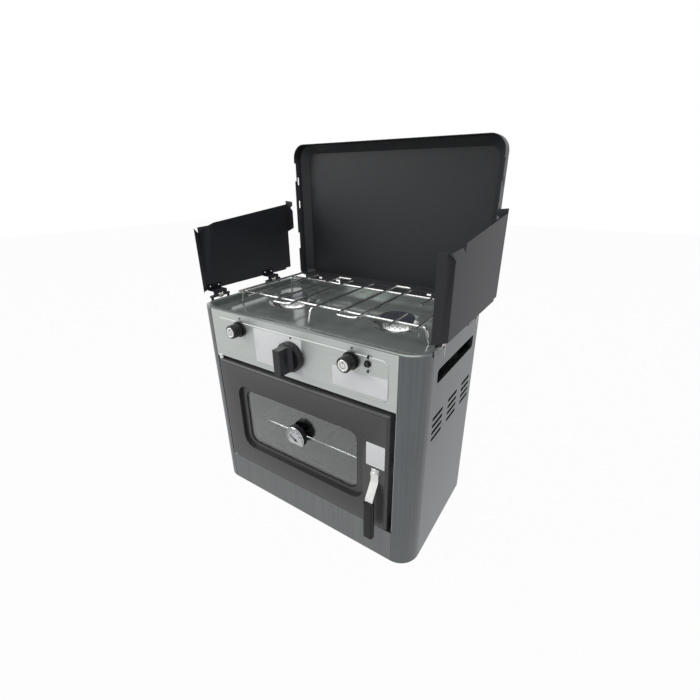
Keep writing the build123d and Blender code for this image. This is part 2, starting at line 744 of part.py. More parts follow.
dial_y = front_y - dial_front
bezel_w = 2.2
with BuildPart() as thermometer:
    with BuildSketch(front_plane(dial_y)):
        with Locations((0, up(dial_z))):
            Circle(dial_r)
        with Locations((0, up(dial_z) - dial_flat - dial_r)):
            Rectangle(4 * dial_r, 2 * dial_r, mode=Mode.SUBTRACT)
    extrude(amount=-dial_depth)
    with BuildSketch(front_plane(dial_y)):
        with Locations((0, up(dial_z))):
            Circle(dial_r - bezel_w)
        with Locations((0, up(dial_z) - dial_flat + bezel_w - dial_r)):
            Rectangle(4 * dial_r, 2 * dial_r, mode=Mode.SUBTRACT)
    extrude(amount=-4, mode=Mode.SUBTRACT)
    chamfer(thermometer.faces().sort_by(Axis.Y)[0].outer_wire().edges(), 1.0)
    # collar against the glass, and the probe through it
    with BuildSketch(front_plane(dial_y + dial_depth)):
        with Locations((0, up(dial_z))):
            Circle(2 * probe_r)
    extrude(amount=-(glass_y - dial_y - dial_depth))
    with BuildSketch(front_plane(glass_y)):
        with Locations((0, up(dial_z))):
            Circle(probe_r)
    extrude(amount=-probe_len)
    with BuildSketch(front_plane(retainer_y)):
        with Locations((0, up(dial_z))):
            RegularPolygon(7, 6)
    extrude(amount=-3)
    with BuildSketch(front_plane(dial_y + 1.2)):
        with Locations((0, up(dial_z) - needle_drop)):
            Circle(0.8)
    extrude(amount=-3)
keep(thermometer, "thermometer")

needle_z = up(dial_z) - needle_drop
with BuildPart() as thermometer_needle:
    with BuildSketch(front_plane(dial_y + 1.8)):
        with Locations((0, needle_z)):
            Circle(2.4)
        with BuildLine():
            blade = [(-1.1, -4), (1.1, -4), (0.35, needle_len), (-0.35, needle_len)]
            lean = math.radians(needle_rest)
            Polyline(*[(u * math.cos(lean) - v * math.sin(lean), needle_z + u * math.sin(lean) + v * math.cos(lean))
                       for u, v in blade], close=True)
        make_face()
        with Locations((0, needle_z)):
            Circle(0.8 + running, mode=Mode.SUBTRACT)
    extrude(amount=-1.0)
keep(thermometer_needle, "thermometer_needle")

# upper and lower door pivots stand on the shelves of the panels
with BuildPart() as door_pin_lower:
    with BuildSketch(Plane.XY.offset(up(lower_panel_top))):
        with Locations((door_axis_x, door_axis_y)):
            Circle(door_pin_r)
    extrude(amount=door_pin_len)
    with BuildSketch(Plane.XY.offset(up(lower_panel_top))):
        with Locations((door_axis_x, door_axis_y)):
            Circle(door_pin_r + 1)
    extrude(amount=(door_z0 - lower_panel_top) - 0.4)
    with BuildSketch(Plane.XY.offset(up(lower_panel_top))):
        with Locations((door_axis_x, front_y + 4)):
            Rectangle(9, 8)
    extrude(amount=0.6)
keep(door_pin_lower, "door_pin_lower")

with BuildPart() as door_pin_upper:
    with BuildSketch(Plane.XY.offset(up(control_z))):
        with Locations((door_axis_x, door_axis_y)):
            Circle(door_pin_r)
    extrude(amount=-door_pin_len)
    with BuildSketch(Plane.XY.offset(up(control_z))):
        with Locations((door_axis_x, door_axis_y)):
            Circle(door_pin_r + 2)
    extrude(amount=-(control_z - door_z1) + 0.6)
    with BuildSketch(Plane.XY.offset(up(control_z))):
        with Locations((door_axis_x, front_y + 4)):
            Rectangle(12, 12)
    extrude(amount=-1.6)
keep(door_pin_upper, "door_pin_upper")

# ================================================================ latch
latch_front = door_front - 0.4
strap_y = latch_front - strap_t / 2
with BuildPart() as latch_lever:
    # cranked strap, drawn from the side
    with BuildSketch(Plane.YZ.offset(latch_x)):
        with BuildLine():
            FilletPolyline((strap_y, latch_cz + strap_head), (strap_y, latch_cz - strap_crank[0]),
                           (strap_y - strap_out, latch_cz - strap_crank[1]), (strap_y - strap_out, latch_cz - strap_len),
                           radius=strap_bend)
            offset(amount=strap_t / 2, side=Side.BOTH)
        make_face()
    extrude(amount=strap_w / 2, both=True)
    with BuildSketch(front_plane(latch_front)):
        with Locations((latch_x, latch_cz)):
            Circle(latch_shaft_r + 4)
    extrude(amount=3.4)
    with BuildSketch(front_plane(latch_front)):
        with Locations((latch_x, latch_cz)):
            Circle(latch_shaft_r)
    extrude(amount=-(door_back + 3.2 - latch_front))
    with BuildSketch(front_plane(door_back + 0.5)):
        with BuildLine():
            Polyline((latch_x - 6, latch_cz - 5), (latch_x + tongue_len, latch_cz - 4),
                     (latch_x + tongue_len, latch_cz + 4), (latch_x - 6, latch_cz + 5), close=True)
        make_face()
    extrude(amount=-2)
keep(latch_lever, "latch_lever")

grip_y = strap_y - strap_out
grip_top = latch_cz - strap_len + strap_in_grip
with BuildPart() as latch_grip:
    with BuildSketch(Plane.XY.offset(grip_top)):
        with Locations((latch_x, grip_y)):
            rounded(lever_grip_w, lever_grip_t, 5)
    extrude(amount=-grip_len)
    fillet(latch_grip.faces().sort_by(Axis.Z)[0].edges(), 3)
    fillet(latch_grip.faces().sort_by(Axis.Z)[-1].edges(), 1.5)
    with BuildSketch(Plane.XY.offset(grip_top + 1)):
        with Locations((latch_x, grip_y)):
            Rectangle(strap_w, strap_t)
    extrude(amount=-(strap_in_grip + 3.5), mode=Mode.SUBTRACT)
keep(latch_grip, "latch_grip")

keeper_x = latch_x + tongue_len + 0.5
with BuildPart() as latch_keeper:
    with BuildSketch(Plane.XY.offset(latch_cz - 14)):
        with BuildLine():
            Polyline((keeper_x, door_back + 0.2), (keeper_x + 5.5, door_back + 0.2), (keeper_x + 5.5, surround_back),
                     (keeper_x - 12, surround_back), (keeper_x - 12, surround_back - sheet),
                     (keeper_x + 5.5 - sheet, surround_back - sheet), (keeper_x + 5.5 - sheet, door_back + 0.2 + sheet),
                     (keeper_x, door_back + 0.2 + sheet), close=True)
        make_face()
    extrude(amount=28)
keep(latch_keeper, "latch_keeper")

# ================================================================ knobs
field_y = front_y - emboss_h


def knob(place, name):
    """A round hob knob with its stem and a bright face disc."""
    x, z = place
    with BuildPart() as body:
        with BuildSketch(front_plane(field_y - knob_stand_off)):
            with Locations((x, z)):
                Circle(knob_r)
        extrude(amount=knob_len)
        chamfer(body.faces().sort_by(Axis.Y)[0].edges(), 1.6)
        with BuildSketch(front_plane(field_y - 1.0)):
            with Locations((x, z)):
                Circle(knob_r + 2.5)
        extrude(amount=knob_stand_off - 1.0)
        with BuildSketch(front_plane(field_y - knob_stand_off)):
            with Locations((x, z)):
                with PolarLocations(knob_r + 0.4, 18):
                    Circle(1.1)
        extrude(amount=knob_len - 3, mode=Mode.SUBTRACT)
        with BuildSketch(front_plane(field_y - knob_stand_off)):
            with Locations((x, z)):
                Circle(stem_r)
        extrude(amount=-(valve_y0 + 14 - field_y + knob_stand_off))
    keep(body, name)
    with BuildPart() as face:
        with BuildSketch(front_plane(field_y - knob_stand_off - knob_len)):
            with Locations((x, z)):
                Circle(knob_r - 3.4)
                with Locations((0, knob_r - 6.5)):
                    Rectangle(1.6, 4, mode=Mode.SUBTRACT)
        extrude(amount=0.8)
    keep(face, name.replace("knob", "knob_disc"))


knob(knob_places[0], "knob_left")
knob(knob_places[2], "knob_right")

oven_x, oven_z = knob_places[1]
with BuildPart() as knob_oven:
    with BuildSketch(front_plane(field_y - 1.0)):
        with Locations((oven_x, oven_z)):
            Circle(oven_knob_r)
    extrude(amount=oven_knob_disc - 1.0)
    chamfer(knob_oven.faces().sort_by(Axis.Y)[0].edges(), 3.0)
    # grip bar with a concave flare at its foot
    with BuildSketch(Plane.XY.offset(oven_z)):
        with BuildLine():
            Polyline((-grip_w / 2, field_y - oven_knob_len), (grip_w / 2, field_y - oven_knob_len),
                     (grip_w / 2, field_y - oven_knob_disc - 8))
            ThreePointArc((grip_w / 2, field_y - oven_knob_disc - 8), (grip_w / 2 + 3, field_y - oven_knob_disc - 2),
                          (grip_w / 2 + 9, field_y - oven_knob_disc + 1))
            Polyline((grip_w / 2 + 9, field_y - oven_knob_disc + 1), (-grip_w / 2 - 9, field_y - oven_knob_disc + 1))
            ThreePointArc((-grip_w / 2 - 9, field_y - oven_knob_disc + 1), (-grip_w / 2 - 3, field_y - oven_knob_disc - 2),
                          (-grip_w / 2, field_y - oven_knob_disc - 8))
            Line((-grip_w / 2, field_y - oven_knob_disc - 8), (-grip_w / 2, field_y - oven_knob_len))
        make_face()
    extrude(amount=grip_tall / 2, both=True)
    with BuildSketch(front_plane(field_y - oven_knob_disc + 1.5)):
        with Locations((oven_x, oven_z)):
            Circle(stem_r)
    extrude(amount=-(valve_y0 + 14 - field_y + oven_knob_disc - 1.5))
keep(knob_oven, "knob_oven")

# ================================================================ trivet
top_z = rim_z + trivet_h
low_z = top_z - 2 * wire_r + 0.6
foot_z = hob_floor_z + wire_r * math.sin(math.atan(foot_splay / (low_z - hob_floor_z)))
rods = []
for y in cross_y:
    rods.append(bent_wire([(-cross_half - foot_splay, y, foot_z), (-cross_half, y, low_z),
                           (cross_half, y, low_z), (cross_half + foot_splay, y, foot_z)], wire_r, 7))
for side in (-1, 1):
    a, b = side * loop_x[0], side * loop_x[1]
    rods.append(bent_wire([(a, trivet_front, top_z), (b, trivet_front, top_z), (b, trivet_rear, top_z),
                           (a, trivet_rear, top_z)], wire_r, 9, close=True))
    rods.append(bent_wire([(side * outer_rod_x, trivet_front + 14, top_z), (side * outer_rod_x, trivet_rear - 10, top_z)],
                          wire_r, 1))
    rods.append(bent_wire([(side * finger_x, trivet_front, top_z), (side * finger_x, finger_end[0], top_z)], wire_r, 1))
    rods.append(bent_wire([(side * finger_x, finger_end[1], top_z), (side * finger_x, trivet_rear, top_z)], wire_r, 1))
rods.append(bent_wire([(0, trivet_front - foot_splay, foot_z), (0, trivet_front, top_z), (0, trivet_rear, top_z)], wire_r, 7))
with BuildPart() as trivet:
    add(rods)
keep(trivet, "trivet")

# ================================================================ windshields and their hinges
axis_z = rim_z + shield_axis_z
leaf_top = axis_z + leaf_rise
plate_x = shield_x - shield_t / 2 - leaf_t


def shield_profile(notched):
    """Windshield outline in the YZ plane, with the flat ear ahead of its bend."""
    y1, y2, h1, h2 = shield_step
    low = rim_z + shield_bottom
    top = rim_z + shield_top_front
    ear_y, ear_h = shield_ear
    heel_y, heel_h = shield_heel
    y1, y2 = shield_front_y + y1, shield_front_y + y2
    step = [(y2, rim_z + h2), (y2 - 3, rim_z + h2 - shield_notch)] if notched else [(y2, rim_z + h2)]
    return [(shield_front_y, low), (shield_rear_y - heel_y, low), (shield_rear_y - heel_y + 1, low + heel_h),
            (shield_rear_y, low + heel_h), (shield_rear_y, rim_z + shield_top_rear), *step, (y1, rim_z + h1),
            (shield_front_y - ear_y, top), (shield_front_y, top - ear_h)]


def windshield(notched):
    """The right-hand windshield: panel, front flange in two bends and rear tab."""
    with BuildPart() as shield:
        with BuildSketch(Plane.YZ.offset(shield_x - shield_t / 2)):
            with BuildLine():
                Polyline(*shield_profile(notched), close=True)
            make_face()
        extrude(amount=shield_t)
        with BuildSketch(Plane.XY.offset(rim_z + shield_bottom)):
            with BuildLine():
                points = [(shield_x, shield_front_y)]
                for angle, length in shield_flange:
                    x, y = points[-1]
                    points.append((x - length * math.sin(math.radians(angle)), y - length * math.cos(math.radians(angle))))
                Polyline(*points)
                offset(amount=shield_t / 2, side=Side.BOTH)
            make_face()
        extrude(amount=shield_top_front - shield_bottom)
        # the flange's top starts below the ear and rises to the second bend
        top = rim_z + shield_top_front
        rise = shield_flange[0][1] * math.cos(math.radians(shield_flange[0][0]))
        with BuildSketch(Plane.YZ.offset(shield_x - 40)):
            with BuildLine():
                Polyline((shield_front_y + 2, top - shield_ear[1] - 1), (shield_front_y, top - shield_ear[1] - 1),
                         (shield_front_y - rise, top - 1), (shield_front_y - rise, top + 1), (shield_front_y + 2, top + 1),
                         close=True)
            make_face()
        extrude(amount=40 - shield_t / 2, mode=Mode.SUBTRACT)
        # rear tab bent inwards, notched at its inner end
        t0, t1, t2 = (rim_z + t for t in tab_z)
        deep, n0, n1 = tab_notch
        with BuildSketch(Plane.XZ.offset(-(shield_rear_y - shield_t))):
            with BuildLine():
                Polyline((shield_x + shield_t / 2, t0), (tab_x, t1), (tab_x, rim_z + n0), (tab_x + deep, rim_z + (n0 + n1) / 2 + 1),
                         (tab_x, rim_z + n1), (tab_x, t2 - 2), (shield_x + shield_t / 2, t2), close=True)
            make_face()
        extrude(amount=-shield_t)
    return shield.part


with BuildPart() as windshield_right:
    add(windshield(True))
keep(windshield_right, "windshield_right")

with BuildPart() as windshield_left:
    mirror(windshield(False), about=Plane.YZ)
keep(windshield_left, "windshield_left")

bracket_w = leaf_w + 14.0
spring_free = spring_len + 1.0
for hinge_y, place in zip(shield_hinge_y, ("front", "rear")):
    with BuildPart() as leaf:
        # knuckle, rise, outward run and plate, as one bent strip
        with BuildSketch(Plane.XZ.offset(-(hinge_y - leaf_w / 2))):
            with Locations((shield_axis_x, axis_z)):
                Circle(knuckle_r)
            with BuildLine():
                Polyline((shield_axis_x - knuckle_r, axis_z), (shield_axis_x - knuckle_r, leaf_top + leaf_t),
                         (plate_x, leaf_top + leaf_t), (plate_x, leaf_top + leaf_plate), (plate_x + leaf_t, leaf_top + leaf_plate),
                         (plate_x + leaf_t, leaf_top), (shield_axis_x - knuckle_r + leaf_t, leaf_top),
                         (shield_axis_x - knuckle_r + leaf_t, axis_z), close=True)
            make_face()
            with Locations((shield_axis_x, axis_z)):
                Circle(shield_pin_r + running, mode=Mode.SUBTRACT)
        extrude(amount=-leaf_w)
        # room for the spring between the two knuckles
        with BuildSketch(Plane.XZ.offset(-(hinge_y - spring_free / 2))):
            with Locations((shield_axis_x + 2, axis_z)):
                Rectangle(14, 11)
        extrude(amount=-spring_free, mode=Mode.SUBTRACT)
        # two rivets
        with BuildSketch(Plane.YZ.offset(plate_x - 0.6)):
            with Locations((hinge_y - leaf_w / 3.2, leaf_top + 7.5), (hinge_y + leaf_w / 3.2, leaf_top + 7.5)):
                Circle(2.4)
        extrude(amount=0.6)
    keep(leaf, f"shield_leaf_right_{place}")
    with BuildPart() as leaf_mirror:
        mirror(leaf.part, about=Plane.YZ)
    keep(leaf_mirror, f"shield_leaf_left_{place}")

    knuckle_len = (bracket_w - leaf_w) / 2 - 0.5
    with BuildPart() as bracket:
        with BuildSketch(Plane.YZ.offset(half_w)):
            with BuildLine():
                Polyline((hinge_y - bracket_w / 2, axis_z - knuckle_r - 0.6), (hinge_y + bracket_w / 2, axis_z - knuckle_r - 0.6),
                         (hinge_y + bracket_w / 2, axis_z - knuckle_r - bracket_drop * 0.6),
                         (hinge_y + bracket_w / 4, axis_z - knuckle_r - bracket_drop),
                         (hinge_y - bracket_w / 4, axis_z - knuckle_r - bracket_drop),
                         (hinge_y - bracket_w / 2, axis_z - knuckle_r - bracket_drop * 0.6), close=True)
            make_face()
        extrude(amount=leaf_t)
        for end in (-1, 1):
            with BuildSketch(Plane.XZ.offset(-(hinge_y + end * (bracket_w - knuckle_len) / 2 - knuckle_len / 2))):
                with Locations((shield_axis_x, axis_z)):
                    Circle(knuckle_r)
                with Locations((half_w + leaf_t / 2, axis_z - knuckle_r)):
                    Rectangle(leaf_t, 4)
            extrude(amount=-knuckle_len)
        with BuildSketch(Plane.XZ.offset(-(hinge_y - bracket_w / 2))):
            with Locations((shield_axis_x, axis_z)):
                Circle(shield_pin_r)
        extrude(amount=-bracket_w)
        with BuildSketch(Plane.YZ.offset(half_w)):
            with Locations((hinge_y - 12, axis_z - knuckle_r - 16), (hinge_y + 12, axis_z - knuckle_r - 16)):
                Circle(2.6)
        extrude(amount=leaf_t + 0.8)
    keep(bracket, f"shield_bracket_right_{place}")
    with BuildPart() as bracket_mirror:
        mirror(bracket.part, about=Plane.YZ)
    keep(bracket_mirror, f"shield_bracket_left_{place}")

    # coil spring round the pin, drawn as a grooved sleeve with its fixed arm
    turn = spring_len / spring_turns
    with BuildPart() as spring:
        with BuildSketch(Plane.XY.offset(axis_z)):
            with BuildLine():
                ridge = [(shield_axis_x + shield_pin_r + 0.3, hinge_y - spring_len / 2)]
                for n in range(spring_turns):
                    y = hinge_y - spring_len / 2 + n * turn
                    ridge += [(shield_axis_x + spring_r - 0.9, y), (shield_axis_x + spring_r, y + turn / 2)]
                ridge += [(shield_axis_x + spring_r - 0.9, hinge_y + spring_len / 2),
                          (shield_axis_x + shield_pin_r + 0.3, hinge_y + spring_len / 2)]
                Polyline(*ridge, close=True)
            make_face()
        revolve(axis=Axis((shield_axis_x, 0, axis_z), (0, 1, 0)))
        with BuildSketch(Plane.XY.offset(axis_z - knuckle_r - 14)):
            with Locations((half_w + leaf_t + 0.9, hinge_y - spring_len / 2 + 1)):
                Circle(0.8)
        extrude(amount=knuckle_r + 11.6)
    keep(spring, f"shield_spring_right_{place}")
    with BuildPart() as spring_mirror:
        mirror(spring.part, about=Plane.YZ)
    keep(spring_mirror, f"shield_spring_left_{place}")

# ================================================================ lid
lid_rim_z = rim_z + lid_gap
lid_mid_y = (lid_y0 + lid_rear_y) / 2


def lid_body(inset):
    """The pressed lid's outer form, or its hollow when inset by the sheet."""
    levels = ((lid_rim_z - (1.0 if inset else 0.0), 0.0), (lid_rim_z + lid_wall - inset / 2, 0.0),
              (lid_rim_z + lid_wall + lid_slope - inset, 1.0))
    sections = []
    for z, taper in levels:
        w = lid_w - 2 * inset - 2 * taper * lid_slope_in
        y0 = lid_y0 + inset + taper * lid_slope_in
        y1 = lid_rear_y - inset - taper * lid_slope_hinge_in
        with BuildSketch(Plane.XY.offset(z)) as level:
            with Locations((0, (y0 + y1) / 2)):
                Rectangle(w, y1 - y0)
            fillet(level.vertices().group_by(Axis.Y)[0], lid_r - inset - taper * 10)
            fillet(level.vertices().group_by(Axis.Y)[-1], lid_hinge_r - inset - taper * 2)
        sections.append(level.sketch)
    with BuildPart() as body:
        add(sections[0])
        extrude(amount=levels[1][0] - levels[0][0])
        loft([sections[1].face(), sections[2].face()], ruled=True)
    return body.part


lid_outside = lid_body(0.0)
lid_hollow = lid_body(lid_t)
with BuildPart() as lid_shell:
    add(lid_outside)
    add(lid_hollow, mode=Mode.SUBTRACT)
    # the side walls' rims clear the folded windshields' leaves
    with BuildSketch(Plane.YZ.offset(-lid_w)):
        for y in shield_hinge_y:
            with Locations((y, lid_rim_z)):
                Rectangle(leaf_w + 5, 2 * lid_notch_h)
        for a in hook_slot_from_hinge:
            with Locations((lid_axis_y - a, lid_rim_z + 11)):
                SlotOverall(hook_slot_len, hook_slot_w)
    extrude(amount=2 * lid_w, mode=Mode.SUBTRACT)
keep_open(lid_shell, "lid_shell")

lid_z = rim_z + lid_axis_z
for side, name in ((-1, "left"), (1, "right")):
    x0 = side * lid_hinge_x - lid_hinge_w / 2
    with BuildPart() as lid_leaf:
        with BuildSketch(Plane.YZ.offset(x0)):
            with Locations((lid_axis_y, lid_z)):
                Circle(lid_knuckle_r)
            with BuildLine():
                top = lid_z + lid_knuckle_r
                Polyline((lid_axis_y, top), (lid_rear_y + leaf_t, top), (lid_rear_y + leaf_t, lid_rim_z + 18),
                         (lid_rear_y, lid_rim_z + 18), (lid_rear_y, top - leaf_t), (lid_axis_y, top - leaf_t),
                         close=True)
            make_face()
            with Locations((lid_axis_y, lid_z)):
                Circle(lid_pin_r + running, mode=Mode.SUBTRACT)
        extrude(amount=lid_hinge_w)
    keep_open(lid_leaf, f"lid_leaf_{name}")
    outer_w = lid_hinge_w + 16.0
    ear = 7.4
    with BuildPart() as lid_bracket:
        with BuildSketch(front_plane(rear_y)):
            with Locations((side * lid_hinge_x, lid_z - lid_knuckle_r - 13)):
                Rectangle(outer_w, 26)
        extrude(amount=-leaf_t)
        for end in (-1, 1):
            with BuildSketch(Plane.YZ.offset(side * lid_hinge_x + end * (outer_w - ear) / 2 - ear / 2)):
                with Locations((lid_axis_y, lid_z)):
                    Circle(lid_knuckle_r)
                with BuildLine():
                    Polyline((rear_y, lid_z - lid_knuckle_r), (lid_axis_y, lid_z - lid_knuckle_r),
                             (lid_axis_y, lid_z - lid_knuckle_r + leaf_t), (rear_y, lid_z - lid_knuckle_r + leaf_t), close=True)
                make_face()
            extrude(amount=ear)
        with BuildSketch(Plane.YZ.offset(side * lid_hinge_x - outer_w / 2)):
            with Locations((lid_axis_y, lid_z)):
                Circle(lid_pin_r)
        extrude(amount=outer_w)
    keep(lid_bracket, f"lid_bracket_{name}")
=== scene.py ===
# %% [markdown]
# # A folding camp oven, dressed piece by piece
# The solids already exist as a fixed frame. This lesson gives each sheet, wire and knob its real finish,
# and adds the small pieces that a sheet-metal shop would fit last: screws, rivets, springs, dial marks.
# Everything is in metres, with +X to the right of the front, +Y to the back and +Z up.

# %% Open the frame
import json
import math

import bmesh
import bpy
from mathutils import Matrix, Vector

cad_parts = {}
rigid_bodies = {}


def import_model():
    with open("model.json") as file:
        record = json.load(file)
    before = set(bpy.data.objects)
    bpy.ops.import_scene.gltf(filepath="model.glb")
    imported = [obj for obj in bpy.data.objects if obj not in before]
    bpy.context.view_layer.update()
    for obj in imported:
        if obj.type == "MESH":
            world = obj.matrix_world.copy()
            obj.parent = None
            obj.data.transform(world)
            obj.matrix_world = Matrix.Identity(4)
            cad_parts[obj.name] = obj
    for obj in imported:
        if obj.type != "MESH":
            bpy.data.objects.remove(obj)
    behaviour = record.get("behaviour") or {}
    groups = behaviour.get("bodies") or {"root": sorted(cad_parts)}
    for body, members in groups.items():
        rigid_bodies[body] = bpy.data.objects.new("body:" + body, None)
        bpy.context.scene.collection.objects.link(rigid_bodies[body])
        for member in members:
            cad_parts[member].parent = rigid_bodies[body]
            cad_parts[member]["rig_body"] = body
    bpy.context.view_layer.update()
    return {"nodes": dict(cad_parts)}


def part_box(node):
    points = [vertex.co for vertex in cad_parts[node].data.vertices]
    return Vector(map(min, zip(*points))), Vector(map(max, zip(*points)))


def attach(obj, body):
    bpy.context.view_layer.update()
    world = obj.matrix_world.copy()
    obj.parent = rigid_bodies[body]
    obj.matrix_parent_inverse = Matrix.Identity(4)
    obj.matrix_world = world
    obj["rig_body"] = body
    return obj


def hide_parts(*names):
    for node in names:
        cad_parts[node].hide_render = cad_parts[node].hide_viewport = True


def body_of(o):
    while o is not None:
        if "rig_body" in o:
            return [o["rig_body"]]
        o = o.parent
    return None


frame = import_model()
nodes = frame["nodes"]
scene = bpy.context.scene
MM = 0.001


def box_mm(node):
    """Low and high corner of a solid's box, in mm."""
    return [Vector(corner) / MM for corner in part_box(node)]


def middle(node):
    """Centre of a solid's box, in mm."""
    low, high = box_mm(node)
    return (low + high) / 2


# %% [markdown]
# ## Camera
# The object is seen from its right front corner, a little above the hob, with a wide lens held close.
# A wide lens makes the near corner large and the far side small, so distance matters as much as angle.
# The camera is built from its yaw and pitch, which is easier to reason about than a matrix.

# %% Camera
EYE = Vector((0.4318, -0.6103, 0.6666))
OVEN_MIDDLE = Vector((0, 0, 0.25))
camera_data = bpy.data.cameras.new("camera")
camera = bpy.data.objects.new("camera", camera_data)
scene.collection.objects.link(camera)
camera_data.sensor_width = 36.0
camera_data.lens = 19.638
camera_data.shift_x = -0.010
camera_data.shift_y = -0.0071
yaw, pitch, roll = (math.radians(a) for a in (32.95, 23.41, 0.16))
level = Matrix.Rotation(yaw, 4, "Z") @ Matrix.Rotation(math.pi / 2 - pitch, 4, "X")
camera.matrix_world = Matrix.Translation(EYE) @ (level @ Matrix.Rotation(-roll, 4, "Z"))
scene.camera = camera
print("camera stands", round((EYE - OVEN_MIDDLE).length, 3), "m from the oven")

# %% [markdown]
# ## Steps that every section shares
# Materials and Geometry Nodes are both trees of nodes, so two short functions fill them: a value is set on
# its socket, and another node's output is linked to it. Meshes are made in bmesh, smoothed except at
# creases, and put on the body that they move with.

# %% Node helpers


def fill(tree, node, **values):
    """Sets a node's inputs by name; a value that is another node's output is linked."""
    for label, value in values.items():
        socket = node.inputs[label.replace("_", " ")]
        if isinstance(value, bpy.types.NodeSocket):
            tree.links.new(value, socket)
        else:
            socket.default_value = value
    return node


def add_node(tree, kind, **values):
    """A new node with its inputs filled."""
    return fill(tree, tree.nodes.new(kind), **values)


def math_node(tree, operation, a, b, clamp=False):
    """One arithmetic step; a and b are sockets or numbers."""
    node = tree.nodes.new("ShaderNodeMath")
    node.operation = operation
    node.use_clamp = clamp
    for socket, value in zip(node.inputs, (a, b)):
        if isinstance(value, (int, float)):
            socket.default_value = value
        else:
            tree.links.new(value, socket)
    return node.outputs[0]


def new_material(name):
    """A fresh node material with its Principled shader."""
    material = bpy.data.materials.new(name)
    material.use_nodes = True
    tree = material.node_tree
    tree.nodes.clear()
    shader = tree.nodes.new("ShaderNodeBsdfPrincipled")
    add_node(tree, "ShaderNodeOutputMaterial", Surface=shader.outputs["BSDF"])
    return material, tree, shader


print("node helpers ready")

# %% Mesh helpers
CREASE = math.radians(35)
SAME_POINT = 1e-7


def put_piece(name, mesh, material, body, instead_of=None):
    """Puts a mesh in the scene with its finish, on its body, and names the solid that it stands for."""
    piece = bpy.data.objects.new(name, mesh)
    scene.collection.objects.link(piece)
    if not mesh.materials:
        mesh.materials.append(material)
    if body:
        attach(piece, body)
    if instead_of:
        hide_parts(instead_of)
    return piece


def smooth(mesh):
    """Round faces shade smooth, and edges sharper than the crease angle stay crisp."""
    mesh.shade_smooth()
    mesh.set_sharp_from_angle(angle=CREASE)
    return mesh


def mesh_from(bm, name):
    """Writes a bmesh to a new mesh and frees it."""
    mesh = bpy.data.meshes.new(name)
    bm.to_mesh(mesh)
    bm.free()
    return mesh


def mesh_piece(name, build, material, body, instead_of=None):
    """One mesh piece made by a bmesh builder, finished and riding on its body."""
    bm = bmesh.new()
    build(bm)
    bmesh.ops.remove_doubles(bm, verts=bm.verts, dist=SAME_POINT)
    bmesh.ops.recalc_face_normals(bm, faces=bm.faces)
    return put_piece(name, smooth(mesh_from(bm, name)), material, body, instead_of)


print("mesh helpers ready")

# %% [markdown]
# ## Studio
# A pale floor and a white surround, with soft lamps. Both show their white only to the eye and to
# reflections; the light that falls on the oven is set apart from it, so colours render as they are written.

# %% Floor
scene.view_settings.view_transform = "Standard"
WHITE = (1, 1, 1, 1)
FLOOR_WHITE = 0.97
FLOOR_HALF_SIDE = 6.0


def seen_directly(tree):
    """1 for rays that come from the eye, a mirror or a pane, and 0 for light that bounces."""
    rays = tree.nodes.new("ShaderNodeLightPath").outputs
    mirrored = math_node(tree, "MAXIMUM", rays["Is Glossy Ray"], rays["Is Transmission Ray"])
    return math_node(tree, "MAXIMUM", rays["Is Camera Ray"], mirrored)


def blend(tree, factor, first, second):
    """Mixes two shader outputs by a factor."""
    node = add_node(tree, "ShaderNodeMixShader", Fac=factor)
    tree.links.new(first, node.inputs[1])
    tree.links.new(second, node.inputs[2])
    return node.outputs[0]


floor_material, tree, shader = new_material("studio_floor")
fill(tree, shader, Base_Color=(0.34, 0.34, 0.35, 1), Roughness=0.9, Specular_IOR_Level=0.1)
white = add_node(tree, "ShaderNodeEmission", Color=WHITE, Strength=1.0)
share = math_node(tree, "MULTIPLY", seen_directly(tree), FLOOR_WHITE)
fill(tree, tree.nodes["Material Output"], Surface=blend(tree, share, shader.outputs[0], white.outputs[0]))


def floor_shape(bm):
    bmesh.ops.create_grid(bm, x_segments=1, y_segments=1, size=FLOOR_HALF_SIDE)


floor = mesh_piece("studio_floor", floor_shape, floor_material, None)
print("floor:", 2 * FLOOR_HALF_SIDE, "m square")

# %% Surround and lamps
world = bpy.data.worlds.new("surround")
scene.world = world
world.use_nodes = True
sky = world.node_tree
sky.nodes.clear()
bright = add_node(sky, "ShaderNodeBackground", Color=WHITE, Strength=1.0)
ambient = add_node(sky, "ShaderNodeBackground", Color=(0.93, 0.96, 1.0, 1), Strength=0.42)
surround = blend(sky, seen_directly(sky), ambient.outputs[0], bright.outputs[0])
add_node(sky, "ShaderNodeOutputWorld", Surface=surround)


def lamp(name, place, target, size, power):
    """A square soft lamp aimed at a point."""
    data = bpy.data.lights.new(name, "AREA")
    data.size = size
    data.energy = power
    obj = bpy.data.objects.new(name, data)
    scene.collection.objects.link(obj)
    aim = (Vector(target) - Vector(place)).to_track_quat("-Z", "Y").to_matrix().to_4x4()
    obj.matrix_world = Matrix.Translation(place) @ aim


lamp("overhead", (0.1, -0.1, 2.1), (0, 0, 0.4), 1.6, 22)
lamp("front_left", (-1.5, -1.6, 1.5), (0, 0, 0.35), 1.2, 20)
lamp("right_side", (2.0, -0.6, 1.2), (0.2, 0, 0.3), 1.2, 5)
print("lamps:", len(bpy.data.lights))

# %% [markdown]
# ## Finishes that repeat
# Rolled sheet carries a fine directional grain. It is a noise stretched a hundredfold along one axis, read in
# object coordinates so that it stays on the metal. The same group serves every metal: only the stretch and
# the contrast change. A second group gives the soft blotches that handling leaves, and a third paints a
# highlight on edges: their colour is made lighter where light would catch them.

# %% Node groups: grain, smudge and painted edge highlight
FINE_SHARE, BROAD_SHARE = 0.65, 0.35


